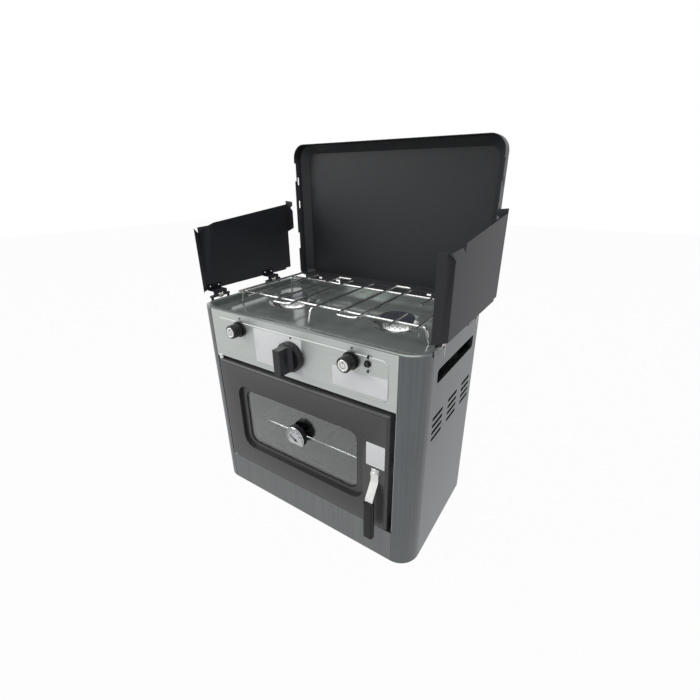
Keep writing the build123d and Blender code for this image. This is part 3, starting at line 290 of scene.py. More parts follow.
def new_group(name, inputs, outputs):
    """A shader node group with named sockets; a vector's first value is a tuple."""
    group = bpy.data.node_groups.new(name, "ShaderNodeTree")
    for label, value in inputs.items():
        kind = "NodeSocketVector" if isinstance(value, tuple) else "NodeSocketFloat"
        group.interface.new_socket(label, in_out="INPUT", socket_type=kind).default_value = value
    for label in outputs:
        group.interface.new_socket(label, in_out="OUTPUT", socket_type="NodeSocketFloat")
    return group, group.nodes.new("NodeGroupInput").outputs, group.nodes.new("NodeGroupOutput")


def on_object(tree):
    """Object coordinates, which stay with a piece as it moves."""
    return tree.nodes.new("ShaderNodeTexCoord").outputs["Object"]


def object_noise(tree, **values):
    """Noise read in object coordinates."""
    return add_node(tree, "ShaderNodeTexNoise", Vector=on_object(tree), **values).outputs[0]


grain_group, given, result = new_group("rolled_grain", {"Stretch": (1.0, 1.0, 1.0), "Contrast": 0.5},
                                       ["Tint", "Height"])
stretched = grain_group.nodes.new("ShaderNodeVectorMath")
stretched.operation = "MULTIPLY"
grain_group.links.new(on_object(grain_group), stretched.inputs[0])
grain_group.links.new(given["Stretch"], stretched.inputs[1])
along = stretched.outputs[0]
fine = add_node(grain_group, "ShaderNodeTexNoise", Vector=along, Scale=1.0, Detail=3.0, Roughness=0.6)
broad = add_node(grain_group, "ShaderNodeTexNoise", Vector=along, Scale=0.16, Detail=2.0)
both = math_node(grain_group, "ADD", math_node(grain_group, "MULTIPLY", fine.outputs[0], FINE_SHARE),
                 math_node(grain_group, "MULTIPLY", broad.outputs[0], BROAD_SHARE))
centred = math_node(grain_group, "SUBTRACT", both, 0.5)
swing = math_node(grain_group, "MULTIPLY", centred, given["Contrast"])
fill(grain_group, result, Tint=math_node(grain_group, "ADD", swing, 0.5), Height=fine.outputs[0])

smudge_group, given, result = new_group("handling_smudge", {"Size": 12.0, "Amount": 0.2}, ["Tint"])
blotches = object_noise(smudge_group, Scale=given["Size"], Detail=4.0)
centred = math_node(smudge_group, "SUBTRACT", blotches, 0.5)
fill(smudge_group, result, Tint=math_node(smudge_group, "MULTIPLY", centred, given["Amount"]))

# Painted highlight: a mask on sharp convex edges, where the colour is made lighter in place of the shine that
# catches them.
edge_group, given, result = new_group("painted_edge_highlight", {"Sharpness": 6.0, "Base": 0.5}, ["Mask"])
bend = edge_group.nodes.new("ShaderNodeNewGeometry").outputs["Pointiness"]
lifted = math_node(edge_group, "SUBTRACT", bend, given["Base"])
fill(edge_group, result, Mask=math_node(edge_group, "MULTIPLY", lifted, given["Sharpness"], clamp=True))
print("groups:", [g.name for g in bpy.data.node_groups])

# %% Steps inside a material


def group_node(tree, group, **values):
    """Places a group in a material with its own values, and gives its outputs."""
    node = tree.nodes.new("ShaderNodeGroup")
    node.node_tree = group
    return fill(tree, node, **values).outputs


def ramp(tree, factor, stops):
    """A ramp between two colours from a 0..1 factor."""
    node = add_node(tree, "ShaderNodeValToRGB", Fac=factor)
    for point, (position, colour) in zip(node.color_ramp.elements, stops):
        point.position = position
        point.color = (*colour, 1)
    return node.outputs["Color"]


def span(tree, factor, low, high):
    """Maps 0..1 to a range, for roughness."""
    return add_node(tree, "ShaderNodeMapRange", Value=factor, To_Min=low, To_Max=high).outputs["Result"]


def bump(tree, height, shader, strength, distance):
    """Turns a height into the shader's normal."""
    node = add_node(tree, "ShaderNodeBump", Strength=strength, Distance=distance, Height=height)
    fill(tree, shader, Normal=node.outputs["Normal"])


print("material steps ready")

# %% [markdown]
# ## Sheet metal
# The cabinet is rolled stainless, with its grain upright on the sides and on the foot panel and level on the
# rest. Grain alone looks like noise, so two broad tones drift along it as well. Metal has no colour of its
# own beyond what it mirrors, and a grey base keeps it from turning white in a white room.

# %% Brushed and plain metals
GRAIN_DEPTH = 0.0004
METAL_BLOTCH = 9.0


def rolled_metal(name, dark, light, stretch, contrast, rough, depth=0.05, metallic=1.0, smudge=0.15):
    """Metal sheet with a directional grain."""
    material, tree, shader = new_material(name)
    grain = group_node(tree, grain_group, Stretch=stretch, Contrast=contrast)
    cloud = group_node(tree, smudge_group, Size=METAL_BLOTCH, Amount=smudge)
    tone = math_node(tree, "ADD", grain["Tint"], cloud["Tint"], clamp=True)
    fill(tree, shader, Base_Color=ramp(tree, tone, [(0.2, dark), (0.8, light)]),
         Roughness=span(tree, tone, *rough), Metallic=metallic)
    bump(tree, grain["Height"], shader, depth, GRAIN_DEPTH)
    return material


side_steel = rolled_metal("side_steel", (0.085, 0.091, 0.095), (0.165, 0.174, 0.18), (620, 620, 5), 0.75,
                          (0.30, 0.42))
control_steel = rolled_metal("control_steel", (0.46, 0.49, 0.47), (0.58, 0.61, 0.59), (5, 5, 520), 0.55,
                             (0.38, 0.48), metallic=0.65)
lower_steel = rolled_metal("lower_steel", (0.115, 0.122, 0.122), (0.19, 0.20, 0.20), (420, 420, 7), 0.8,
                           (0.32, 0.44))
hob_steel = rolled_metal("hob_steel", (0.17, 0.195, 0.183), (0.25, 0.275, 0.26), (9, 300, 300), 0.5,
                         (0.10, 0.16), depth=0.02, metallic=0.5)
bright_steel = rolled_metal("bright_steel", (0.55, 0.55, 0.55), (0.80, 0.80, 0.79), (60, 60, 60), 0.8,
                            (0.18, 0.30))
galvanised = rolled_metal("galvanised", (0.36, 0.37, 0.38), (0.50, 0.51, 0.52), (95, 95, 95), 1.2,
                          (0.36, 0.48), smudge=0.06)
wire_chrome = rolled_metal("wire_chrome", (0.50, 0.50, 0.50), (0.78, 0.78, 0.77), (90, 90, 90), 0.6,
                           (0.14, 0.24))
spring_steel = rolled_metal("spring_steel", (0.38, 0.36, 0.33), (0.68, 0.66, 0.62), (200, 200, 200), 1.0,
                            (0.2, 0.3))
inlet_brass = rolled_metal("inlet_brass", (0.50, 0.36, 0.14), (0.72, 0.56, 0.26), (80, 80, 80), 0.8,
                           (0.22, 0.34))
print("metals:", grain_group.users)

# %% [markdown]
# ## Paint, enamel and moulded plastic
# The lid, windshields and hinges are satin black: a powder coat with a fine orange-peel that only shows as
# broken highlights. The door is the same paint with metal flake in it, so it reads as a dark grey.
# Oven enamel is grey glass with small pale specks fired into it.

# %% Coated finishes
PAINT_BLOTCH, PAINT_SMUDGE = 7.0, 0.25
EDGE_SHARPNESS, EDGE_BASE = 9.0, 0.52
PEEL_DEPTH = 0.0006


def coated(name, dark, light, rough, peel=260.0, peel_depth=0.08, edge=None, metallic=0.0, coat=0.0,
           shine=0.5):
    """Painted or moulded surface with fine texture, and a painted highlight that lightens its edges if its
    tone is given.
    """
    material, tree, shader = new_material(name)
    cloud = group_node(tree, smudge_group, Size=PAINT_BLOTCH, Amount=PAINT_SMUDGE)
    tone = math_node(tree, "ADD", cloud["Tint"], 0.5, clamp=True)
    colour = ramp(tree, tone, [(0.3, dark), (0.7, light)])
    # The edges are mixed towards a lighter tone, which is a painted highlight.
    if edge:
        edge_highlight = group_node(tree, edge_group, Sharpness=EDGE_SHARPNESS, Base=EDGE_BASE)
        mix = tree.nodes.new("ShaderNodeMix")
        mix.data_type = "RGBA"
        tree.links.new(edge_highlight["Mask"], mix.inputs[0])
        tree.links.new(colour, mix.inputs[6])
        mix.inputs[7].default_value = (*edge, 1)
        colour = mix.outputs[2]
    fill(tree, shader, Base_Color=colour, Roughness=span(tree, tone, *rough), Metallic=metallic,
         Coat_Weight=coat, Specular_IOR_Level=shine)
    bump(tree, object_noise(tree, Scale=peel, Detail=1.0), shader, peel_depth, PEEL_DEPTH)
    return material


# Each edge tone below is the colour of a painted highlight on that finish's edges.
satin_black = coated("satin_black", (0.005, 0.006, 0.009), (0.010, 0.011, 0.015), (0.40, 0.52),
                     edge=(0.05, 0.05, 0.055), shine=0.16)
lid_black = coated("lid_black", (0.020, 0.021, 0.022), (0.030, 0.031, 0.033), (0.38, 0.50), peel=420,
                   peel_depth=0.12, edge=(0.06, 0.06, 0.065), shine=0.3)
door_paint = coated("door_paint", (0.030, 0.030, 0.031), (0.042, 0.042, 0.044), (0.30, 0.40), peel=700,
                    peel_depth=0.06, edge=(0.08, 0.08, 0.08), coat=0.12, shine=0.4)
door_back = coated("door_back", (0.10, 0.10, 0.10), (0.16, 0.16, 0.16), (0.3, 0.45), metallic=0.8)
grip_plastic = coated("grip_plastic", (0.008, 0.008, 0.009), (0.014, 0.014, 0.015), (0.36, 0.48), peel=500,
                      peel_depth=0.10, edge=(0.03, 0.03, 0.03), shine=0.2)
knob_plastic = coated("knob_plastic", (0.007, 0.007, 0.008), (0.012, 0.012, 0.013), (0.22, 0.32), peel=300,
                      peel_depth=0.03, edge=(0.025, 0.025, 0.028), shine=0.3)
seal_rubber = coated("seal_rubber", (0.012, 0.012, 0.012), (0.022, 0.022, 0.022), (0.60, 0.75), peel=600,
                     peel_depth=0.1)
cap_enamel = coated("cap_enamel", (0.008, 0.010, 0.016), (0.016, 0.020, 0.032), (0.20, 0.30), peel=200,
                    peel_depth=0.05, edge=(0.05, 0.055, 0.07), coat=0.3)
needle_black = coated("needle_black", (0.010, 0.010, 0.010), (0.016, 0.016, 0.016), (0.4, 0.5))
# These are the finishes with a painted highlight on their edges.
print("finishes with edges rubbed lighter:", edge_group.users)

# %% Speckled oven enamel
speck_scale, speck_radius, speck_rarity = 260.0, 0.16, 0.62
oven_enamel, tree, shader = new_material("oven_enamel")
cells = add_node(tree, "ShaderNodeTexVoronoi", Scale=speck_scale, Vector=on_object(tree)).outputs
speck = math_node(tree, "MULTIPLY", math_node(tree, "LESS_THAN", cells["Distance"], speck_radius),
                  math_node(tree, "GREATER_THAN", cells["Color"], speck_rarity))
fill(tree, shader, Base_Color=ramp(tree, speck, [(0.0, (0.34, 0.36, 0.355)), (1.0, (0.55, 0.55, 0.55))]),
     Roughness=0.25, Coat_Weight=0.4)
bump(tree, cells["Distance"], shader, 0.05, GRAIN_DEPTH)
print("enamel specks:", speck_scale, "cells to the metre")

# %% [markdown]
# ## Glass and print
# The window is tempered glass with a faint grey tint. It is a closed slab, so a transmission shader is
# enough, and a small smudge group on its roughness keeps it from looking like nothing at all.

# %% Glass, vinyl and ink
PANE_ROUGHNESS = 0.03
MOTTLE_SCALE = 900.0
window_glass, tree, shader = new_material("window_glass")
cloud = group_node(tree, smudge_group, Size=24.0, Amount=0.10)
fill(tree, shader, Base_Color=(0.80, 0.85, 0.84, 1), Transmission_Weight=1.0, IOR=1.52, Coat_Weight=0.6,
     Roughness=math_node(tree, "ADD", cloud["Tint"], PANE_ROUGHNESS, clamp=True))


def flat_finish(name, colour, rough, spread=0.06):
    """Vinyl, ink or a printed face: one colour with a faint mottle."""
    material, tree, shader = new_material(name)
    low = tuple(c * (1 - spread) for c in colour)
    high = tuple(min(1.0, c * (1 + spread)) for c in colour)
    mottle = ramp(tree, object_noise(tree, Scale=MOTTLE_SCALE), [(0.35, low), (0.65, high)])
    fill(tree, shader, Base_Color=mottle, Roughness=rough)
    return material


label_vinyl = flat_finish("label_vinyl", (0.93, 0.93, 0.92), 0.42, spread=0.02)
dial_white = flat_finish("dial_white", (0.70, 0.72, 0.72), 0.4)
print_ink = flat_finish("print_ink", (0.012, 0.012, 0.012), 0.5)
print("materials in the file:", len(bpy.data.materials))

# %% [markdown]
# ## Finishes go on the solids
# Each solid keeps its shape and gets its finish by name. Seams, gaskets and wires are separate solids, so
# one material each is enough.

# %% Dress the solids
SIGN = {"left": -1, "right": 1}
hinge_places = [(side, place) for side in SIGN for place in ("front", "rear")]


def pair(*stems):
    """The left and the right solid of each stem."""
    return [f"{stem}_{side}" for stem in stems for side in SIGN]


def at_hinges(*kinds):
    """The solids of each kind at the four windshield hinges."""
    return [f"shield_{kind}_{side}_{place}" for kind in kinds for side, place in hinge_places]


finish = {
    side_steel: pair("side_panel"),
    control_steel: ["control_panel"],
    lower_steel: ["lower_front_panel"],
    hob_steel: ["hob_plate"],
    bright_steel: pair("burner", "knob_disc") + ["latch_lever", "door_pin_upper", "door_pin_lower"],
    galvanised: ["back_panel", "base_pan", "door_surround", "gas_manifold", "oven_supply_pipe",
                 "latch_keeper", "oven_burner", "oven_floor_plate"] + pair("rack_runner"),
    wire_chrome: ["trivet", "rack_upper", "rack_lower"],
    inlet_brass: ["gas_inlet"],
    lid_black: ["lid_shell"],
    satin_black: pair("windshield", "lid_leaf", "lid_bracket") + at_hinges("leaf", "bracket"),
    spring_steel: at_hinges("spring"),
    door_paint: ["door_outer"],
    door_back: ["door_inner"],
    window_glass: ["door_glass"],
    oven_enamel: ["oven_liner"],
    cap_enamel: pair("burner_cap"),
    seal_rubber: ["feet", "oven_seal", "glass_seal"],
    grip_plastic: ["latch_grip"],
    knob_plastic: pair("knob") + ["knob_oven", "thermometer"],
    needle_black: ["thermometer_needle"],
}
for material, names in finish.items():
    for name in names:
        nodes[name].data.materials.clear()
        nodes[name].data.materials.append(material)
print("dressed", sum(len(names) for names in finish.values()), "of", len(nodes))

# %% [markdown]
# ## Small turned pieces
# Rivets, screws, bezels and knob caps are all turned shapes: a short profile carried round an axis. One
# function makes them, in millimetres, so each piece below is only a list of radii and heights.
# A small piece has to touch what carries it, so its place comes from a ray cast on to that solid, or from
# the solid's box.

# %% Turned profiles and a place on a surface
FRONT = Vector((0, -1, 0))
BACK = Vector((0, 1, 0))
UP = Vector((0, 0, 1))
BEFORE = -400
BEHIND = 300


def lathe(bm, profile, centre, axis, sides=32, loop=False):
    """Carries a profile of (radius, height) round an axis through a centre, all in mm."""
    across = axis.orthogonal().normalized()
    other = axis.cross(across)
    rings = []
    for radius, height in profile:
        angles = [2 * math.pi * n / sides for n in range(sides if radius else 1)]
        spokes = [across * math.cos(a) + other * math.sin(a) for a in angles]
        rings.append([bm.verts.new((centre + axis * height + spoke * radius) * MM) for spoke in spokes])
    if loop:
        rings.append(rings[0])
    for low, high in zip(rings, rings[1:]):
        for n in range(sides):
            m = n + 1
            corners = [low[n % len(low)], low[m % len(low)], high[m % len(high)], high[n % len(high)]]
            bm.faces.new(list(dict.fromkeys(corners)))


def landing(node, start, direction):
    """Where a ray from a start in mm first meets a solid, in mm."""
    found, place, *_ = nodes[node].ray_cast(Vector(start) * MM, direction)
    if not found:
        raise ValueError(f"no surface of {node} from {start}")
    return place / MM


def body_under(node):
    """The one body that a solid rides on."""
    return body_of(nodes[node])[0]


panel_front = landing("control_panel", (-150, BEFORE, 375), BACK).y
print("control panel field at y", round(panel_front, 2), "mm")

# %% [markdown]
# ## Rivets and screws
# The hinges are riveted and the sheets are screwed. Heads repeat, so Geometry Nodes set one dome on every
# point of a mesh that holds nothing but points. Each point knows which way its head faces through an
# attribute, and Align Rotation to Vector reads it.

# %% How a tree starts, ends and runs


def geometry_tree(name, lengths):
    """A Geometry Nodes tree with a named input for each length and one for the finish."""
    tree = bpy.data.node_groups.new(name, "GeometryNodeTree")
    face = tree.interface
    face.new_socket("Geometry", in_out="INPUT", socket_type="NodeSocketGeometry")
    for label, value in lengths.items():
        face.new_socket(label, in_out="INPUT", socket_type="NodeSocketFloat").default_value = value
    face.new_socket("Finish", in_out="INPUT", socket_type="NodeSocketMaterial")
    face.new_socket("Geometry", in_out="OUTPUT", socket_type="NodeSocketGeometry")
    return tree, tree.nodes.new("NodeGroupInput").outputs


def close_tree(tree, given, geometry):
    """Ends a tree: the geometry is made real, gets its finish and goes out."""
    real = add_node(tree, "GeometryNodeRealizeInstances", Geometry=geometry)
    paint = add_node(tree, "GeometryNodeSetMaterial", Geometry=real.outputs[0], Material=given["Finish"])
    add_node(tree, "NodeGroupOutput", Geometry=paint.outputs[0])
    return tree


def baked(host):
    """The plain mesh that an object and its modifiers give; the object itself is thrown away."""
    mesh = bpy.data.meshes.new_from_object(host.evaluated_get(bpy.context.evaluated_depsgraph_get()))
    host.modifiers.clear()
    bpy.data.objects.remove(host)
    return mesh


def run_tree(name, mesh, tree, values, body):
    """Runs a tree on a mesh with its inputs set by identifier, and keeps the plain mesh it gives."""
    host = bpy.data.objects.new(name + "_host", mesh)
    scene.collection.objects.link(host)
    modifier = host.modifiers.new("tree", "NODES")
    modifier.node_group = tree
    sockets = {i.name: i.identifier for i in tree.interface.items_tree if i.in_out == "INPUT"}
    for label, value in values.items():
        modifier[sockets[label]] = value
    made = baked(host)
    made.name = name
    return put_piece(name, smooth(made), values["Finish"], body)


print("trees can start, end and run")

# %% The tree that sets a head on every point


def heads_tree():
    """Instances a squashed dome on each point, turned to the point's facing attribute."""
    tree, given = geometry_tree("heads_on_points", {"Head Radius": 0.002, "Head Height": 0.001})
    dome = add_node(tree, "GeometryNodeMeshUVSphere", Segments=20, Rings=10, Radius=1.0)
    facing = tree.nodes.new("GeometryNodeInputNamedAttribute")
    facing.data_type = "FLOAT_VECTOR"
    facing.inputs["Name"].default_value = "facing"
    aim = add_node(tree, "FunctionNodeAlignRotationToVector", Vector=facing.outputs["Attribute"])
    aim.axis = "Z"
    size = add_node(tree, "ShaderNodeCombineXYZ", X=given["Head Radius"], Y=given["Head Radius"],
                    Z=given["Head Height"])
    place = add_node(tree, "GeometryNodeInstanceOnPoints", Points=given["Geometry"],
                     Instance=dome.outputs["Mesh"], Rotation=aim.outputs["Rotation"], Scale=size.outputs[0])
    return close_tree(tree, given, place.outputs["Instances"])


heads = heads_tree()


def set_heads(name, spots, radius, height, material, body):
    """Domed heads at spots of (place in mm, facing)."""
    mesh = bpy.data.meshes.new(name + "_spots")
    mesh.from_pydata([Vector(place) * MM for place, facing in spots], [], [])
    facing = mesh.attributes.new("facing", "FLOAT_VECTOR", "POINT")
    for item, (place, direction) in zip(facing.data, spots):
        item.vector = direction
    values = {"Head Radius": radius * MM, "Head Height": height * MM, "Finish": material}
    return run_tree(name, mesh, heads, values, body)


print("heads tree:", len(heads.nodes), "nodes")

# %% Hinge rivets and sheet screws
INSIDE = 200
leaf_rivet_z, leaf_rivet_shift = 457.5, 10.6
screw_columns, screw_rows, screw_middle_row = (-195, -70, 70, 195), (18, 424), 220
bracket_rivet_x, bracket_rivet_z = (132, 168), 409
for side, place in hinge_places:
    sign = SIGN[side]
    leaf = f"shield_leaf_{side}_{place}"
    hinge = middle(leaf).y
    outward = Vector((sign, 0, 0))
    starts = [(sign * INSIDE, hinge + shift, leaf_rivet_z) for shift in (-leaf_rivet_shift, leaf_rivet_shift)]
    spots = [(landing(leaf, start, outward), -outward) for start in starts]
    set_heads(f"leaf_rivets_{side}_{place}", spots, 2.3, 1.1, bright_steel, body_under(leaf))

screw_places = [(x, z) for x in screw_columns for z in screw_rows]
screw_places += [(x, screw_middle_row) for x in (screw_columns[0], screw_columns[-1])]
spots = [(landing("back_panel", (x, BEHIND, z), FRONT), BACK) for x, z in screw_places]
set_heads("back_screws", spots, 3.4, 1.5, bright_steel, "cabinet")
for side, sign in SIGN.items():
    starts = [(sign * x, BEHIND, bracket_rivet_z) for x in bracket_rivet_x]
    spots = [(landing(f"lid_bracket_{side}", start, FRONT), BACK) for start in starts]
    set_heads(f"lid_bracket_rivets_{side}", spots, 2.6, 1.3, satin_black, "cabinet")
print("screws on the back:", len(screw_places))

# %% [markdown]
# ## Windshield springs
# A torsion spring holds each windshield upright. Its coil turns round the hinge pin, one arm presses on the
# leaf and the other lies down the cabinet's side. A spiral curve with two arms gives the wire's path, and
# Curve to Mesh gives it thickness. The left-hand springs are mirror images, so their faces are turned again.

# %% Wire springs
pin_x = 251.0
pin_below_sleeve = 3.4
coil_length = 12.0


def spring_tree():
    """A coil round Y that starts and ends on its outer side, with an arm up and an arm down."""
    tree, given = geometry_tree("torsion_spring", {
        "Coil Radius": 0.0046, "Coil Length": 0.012, "Turns": 6.0, "Wire Radius": 0.0008, "Arm Up": 0.0085,
        "Arm Down": 0.021})
    radius, length = given["Coil Radius"], given["Coil Length"]
    coil = add_node(tree, "GeometryNodeCurveSpiral", Resolution=20, Start_Radius=radius, End_Radius=radius,
                    Height=length, Rotations=given["Turns"])
    lay = add_node(tree, "GeometryNodeTransform", Geometry=coil.outputs[0], Rotation=(-math.pi / 2, 0, 0))
    join = add_node(tree, "GeometryNodeJoinGeometry", Geometry=lay.outputs["Geometry"])
    for end, reach, way in ((0.0, "Arm Up", 1.0), (1.0, "Arm Down", -1.0)):
        along = math_node(tree, "MULTIPLY", length, end)
        rise = math_node(tree, "MULTIPLY", given[reach], way)
        foot = add_node(tree, "ShaderNodeCombineXYZ", X=radius, Y=along)
        tip = add_node(tree, "ShaderNodeCombineXYZ", X=radius, Y=along, Z=rise)
        arm = add_node(tree, "GeometryNodeCurvePrimitiveLine", Start=foot.outputs[0], End=tip.outputs[0])
        fill(tree, join, Geometry=arm.outputs["Curve"])
    ring = add_node(tree, "GeometryNodeCurvePrimitiveCircle", Resolution=8, Radius=given["Wire Radius"])
    sweep = add_node(tree, "GeometryNodeCurveToMesh", Curve=join.outputs["Geometry"],
                     Profile_Curve=ring.outputs["Curve"], Fill_Caps=True)
    return close_tree(tree, given, sweep.outputs["Mesh"])


springs = spring_tree()
for side, place in hinge_places:
    node = f"shield_spring_{side}_{place}"
    sign = SIGN[side]
    start = Vector((sign * pin_x, middle(node).y, box_mm(node)[1].z - pin_below_sleeve)) * MM
    values = {"Coil Length": coil_length * MM, "Finish": spring_steel}
    blank = bpy.data.meshes.new(node + "_blank")
    piece = run_tree(f"spring_wire_{side}_{place}", blank, springs, values, body_under(node))
    mirror = Matrix.Diagonal((sign, 1, 1, 1)) @ Matrix.Translation(FRONT * coil_length * MM / 2)
    piece.data.transform(Matrix.Translation(start) @ mirror)
    if sign < 0:
        piece.data.flip_normals()
    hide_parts(node)
print("springs wound:", len(hinge_places))

# %% [markdown]
# ## The hob's rolled rim and the trivet's welds
# A pressed hob has a rounded rim where its sheet turns over. The bead here is one curve, a rectangle with
# filleted corners, swept with a low oval. The trivet's rods are resistance welded: at each crossing the metal
# squeezes out into a small flat bead, which is the heads tree again.

# %% Rolled rim
cabinet_corner = 40.0
bead_width, bead_height, bead_inset, bead_sunk = 10.0, 1.5, 5.6, 0.1


def rim_tree():
    """Sweeps a low oval round a rectangle with filleted corners."""
    tree, given = geometry_tree("rolled_rim", {
        "Width": 0.48, "Depth": 0.28, "Corner": 0.03, "Bead Width": 0.01, "Bead Height": 0.0016})
    path = add_node(tree, "GeometryNodeCurvePrimitiveQuadrilateral", Width=given["Width"],
                    Height=given["Depth"])
    corner = add_node(tree, "GeometryNodeFilletCurve", Curve=path.outputs["Curve"], Radius=given["Corner"])
    corner.mode = "POLY"
    corner.inputs["Count"].default_value = 12
    oval = add_node(tree, "GeometryNodeCurvePrimitiveCircle", Resolution=16, Radius=0.5)
    shape = add_node(tree, "ShaderNodeCombineXYZ", X=given["Bead Width"],
                     Y=math_node(tree, "MULTIPLY", given["Bead Height"], 2.0))
    squash = add_node(tree, "GeometryNodeTransform", Geometry=oval.outputs["Curve"], Scale=shape.outputs[0])
    sweep = add_node(tree, "GeometryNodeCurveToMesh", Curve=corner.outputs["Curve"],
                     Profile_Curve=squash.outputs["Geometry"])
    return close_tree(tree, given, sweep.outputs["Mesh"])


low, high = box_mm("hob_plate")
values = {"Width": (high.x - low.x - 2 * bead_inset) * MM, "Depth": (high.y - low.y - 2 * bead_inset) * MM,
          "Corner": (cabinet_corner - bead_inset) * MM, "Bead Width": bead_width * MM,
          "Bead Height": bead_height * MM, "Finish": hob_steel}
rim = run_tree("hob_rim_bead", bpy.data.meshes.new("rim_blank"), rim_tree(), values, "cabinet")
centre = middle("hob_plate")
centre.z = high.z - bead_sunk
rim.data.transform(Matrix.Translation(centre * MM))
print("rim bead inset", bead_inset, "mm")

# %% Trivet welds
rod = 2.25
weld_x = (-205, -97, -55, 0, 55, 97, 205, -160, 160)
weld_y = (-67.4, 90.6)
weld_rise = 2.2
weld_z = box_mm("trivet")[1].z - 3 * rod + weld_rise
spots = [((x, y, weld_z), UP) for x in weld_x for y in weld_y]
set_heads("trivet_welds", spots, 3.1, 1.3, wire_chrome, "cabinet")
print("welds:", len(spots))

# %% [markdown]
# ## Hinge lugs
# The fixed half of each windshield hinge is a pin held by two small lugs that are welded to the cabinet's
# top edge. Seen from the side only the coil and the lugs show, so a turned pin and two flat tabs with
# barrels stand for the plain bracket, and the panel below them stays bare.

# %% Bodies through outlines


def bridge(bm, rings):
    """Faces between neighbouring closed rings that have equally many points."""
    for low, high in zip(rings, rings[1:]):
        for n in range(len(low)):
            m = (n + 1) % len(low)
            bm.faces.new([low[n], low[m], high[m], high[n]])


def prism(bm, outlines):
    """A closed body through outlines of points in mm, capped at both ends."""
    rings = [[bm.verts.new(Vector(point) * MM) for point in outline] for outline in outlines]
    bridge(bm, rings)
    bm.faces.new(rings[0])
    bm.faces.new(rings[-1])


print("outlines can become bodies")

# %% Pins and lugs
pin_r, pin_head_r, pin_head = 1.5, 2.2, 0.8
barrel_r, bore_r, barrel_half = 3, 1.6, 3.2
barrel_from_end = 3.4
pin_below_bracket = 3
lug_faces = (250.05, 251.2)
lug_foot, lug_top = 22, 2


def tab(bm, faces, y0, y1, z0, z1, corner=2.0):
    """A flat tab between two planes in X, with its two lower corners rounded, in mm."""
    bends = [(corner * math.sin(a), corner * math.cos(a)) for a in (0.5, 1.0)]
    outline = [(y0, z1), (y0, z0 + corner)]
    outline += [(y0 + corner - c, z0 + corner - s) for s, c in bends]
    outline += [(y0 + corner, z0), (y1 - corner, z0)]
    outline += [(y1 - corner + s, z0 + corner - c) for s, c in bends]
    outline += [(y1, z0 + corner), (y1, z1)]
    prism(bm, [[(x, y, z) for y, z in outline] for x in faces])


for side, place in hinge_places:
    node = f"shield_bracket_{side}_{place}"
    sign = SIGN[side]
    low, high = box_mm(node)
    pin = Vector((sign * pin_x, middle(node).y, high.z - pin_below_bracket))
    half = (high.y - low.y) / 2

    def lugs(bm):
        tip = half + pin_head
        lathe(bm, [(0, -tip), (pin_head_r, -tip), (pin_head_r, -half), (pin_r, -half), (pin_r, half),
                   (pin_head_r, half), (pin_head_r, tip), (0, tip)], pin, BACK, sides=20)
        for end in (-1, 1):
            at = pin + BACK * end * (half - barrel_from_end)
            barrel = [(bore_r, -barrel_half), (barrel_r, -barrel_half), (barrel_r, barrel_half),
                      (bore_r, barrel_half)]
            lathe(bm, barrel, at, BACK, sides=20, loop=True)
            tab(bm, [sign * x for x in lug_faces], at.y - barrel_half, at.y + barrel_half,
                low.z + lug_foot, high.z - lug_top)

    mesh_piece(f"hinge_lugs_{side}_{place}", lugs, side_steel, body_under(node), node)
print("lugs:", len(hinge_places))

# %% [markdown]
# ## The left windshield
# The right windshield keeps a small flat ear ahead of its bend, and the left one is cut flush. A copy of the
# solid is the quickest start: the ear's points are drawn back on to the bend line, and the doubles merged.

# %% Left windshield without the ear
SEAM_POINT = 1e-6
sheet_reach = 0.0011
ear_height = 0.014
ear_from_bend = 0.001
flange_y = -0.134
below_ear_z = 0.5


def merged_copy(node):
    """A solid's triangles in a bmesh, with their doubles merged."""
    bm = bmesh.new()
    bm.from_mesh(nodes[node].data)
    bmesh.ops.remove_doubles(bm, verts=bm.verts, dist=SEAM_POINT)
    return bm


bm = merged_copy("windshield_left")
sheet_x = min(v.co.x for v in bm.verts) + sheet_reach
ear_top = max(v.co.z for v in bm.verts if v.co.y < flange_y)
bend_y = min(v.co.y for v in bm.verts if v.co.x < sheet_x and v.co.z < below_ear_z)
ear = [v for v in bm.verts
       if v.co.x < sheet_x and v.co.y < bend_y - ear_from_bend and v.co.z > ear_top - ear_height]
print("ear points drawn back:", len(ear))
for vert in ear:
    vert.co.y = bend_y
bmesh.ops.remove_doubles(bm, verts=bm.verts, dist=SEAM_POINT)
bmesh.ops.dissolve_degenerate(bm, edges=bm.edges, dist=SEAM_POINT)
bmesh.ops.recalc_face_normals(bm, faces=bm.faces)
put_piece("windshield_left_flush", mesh_from(bm, "windshield_left_flush"), satin_black, "windshield_left",
          "windshield_left")

# %% [markdown]
# ## Lid flange
# The lid's hinge side ends in a narrow black flange between its brackets. With the lid open it closes the gap
# behind the hob, and with the lid shut it lies flat behind the rear wall. It stays close to the hinge axis,
# so its sweep is small.

# %% Flange in three lengths
lid_low = box_mm("lid_shell")[0]
flange_lengths = ((-228, -183), (-117, 117), (183, 228))
flange_section = [(0, 0.4), (0, -7.6), (0.5, -8.2), (2.4, -8.2), (2.4, -7.2), (1, -7.2), (1, 0.4)]


def flange(bm):
    """A strip below the lid's lower edge with its foot rolled back, in mm."""
    section = [(lid_low.y + back, lid_low.z + rise) for back, rise in flange_section]
    for ends in flange_lengths:
        prism(bm, [[(x, y, z) for y, z in section] for x in ends])


mesh_piece("lid_flange", flange, satin_black, "lid")
print("flange below", [round(c) for c in lid_low])

# %% [markdown]
# ## Plates and print on the panel
# The panel carries blank vinyl plates: they are left bare, with softened corners. A thin closed slab with a
# small bevel at its edge catches light as real vinyl does. Flames above and below the igniter, and a pointer
# above each knob with dots below it, are printed ink, each a very low slab on the steel.

# %% Outlines and slabs for the front


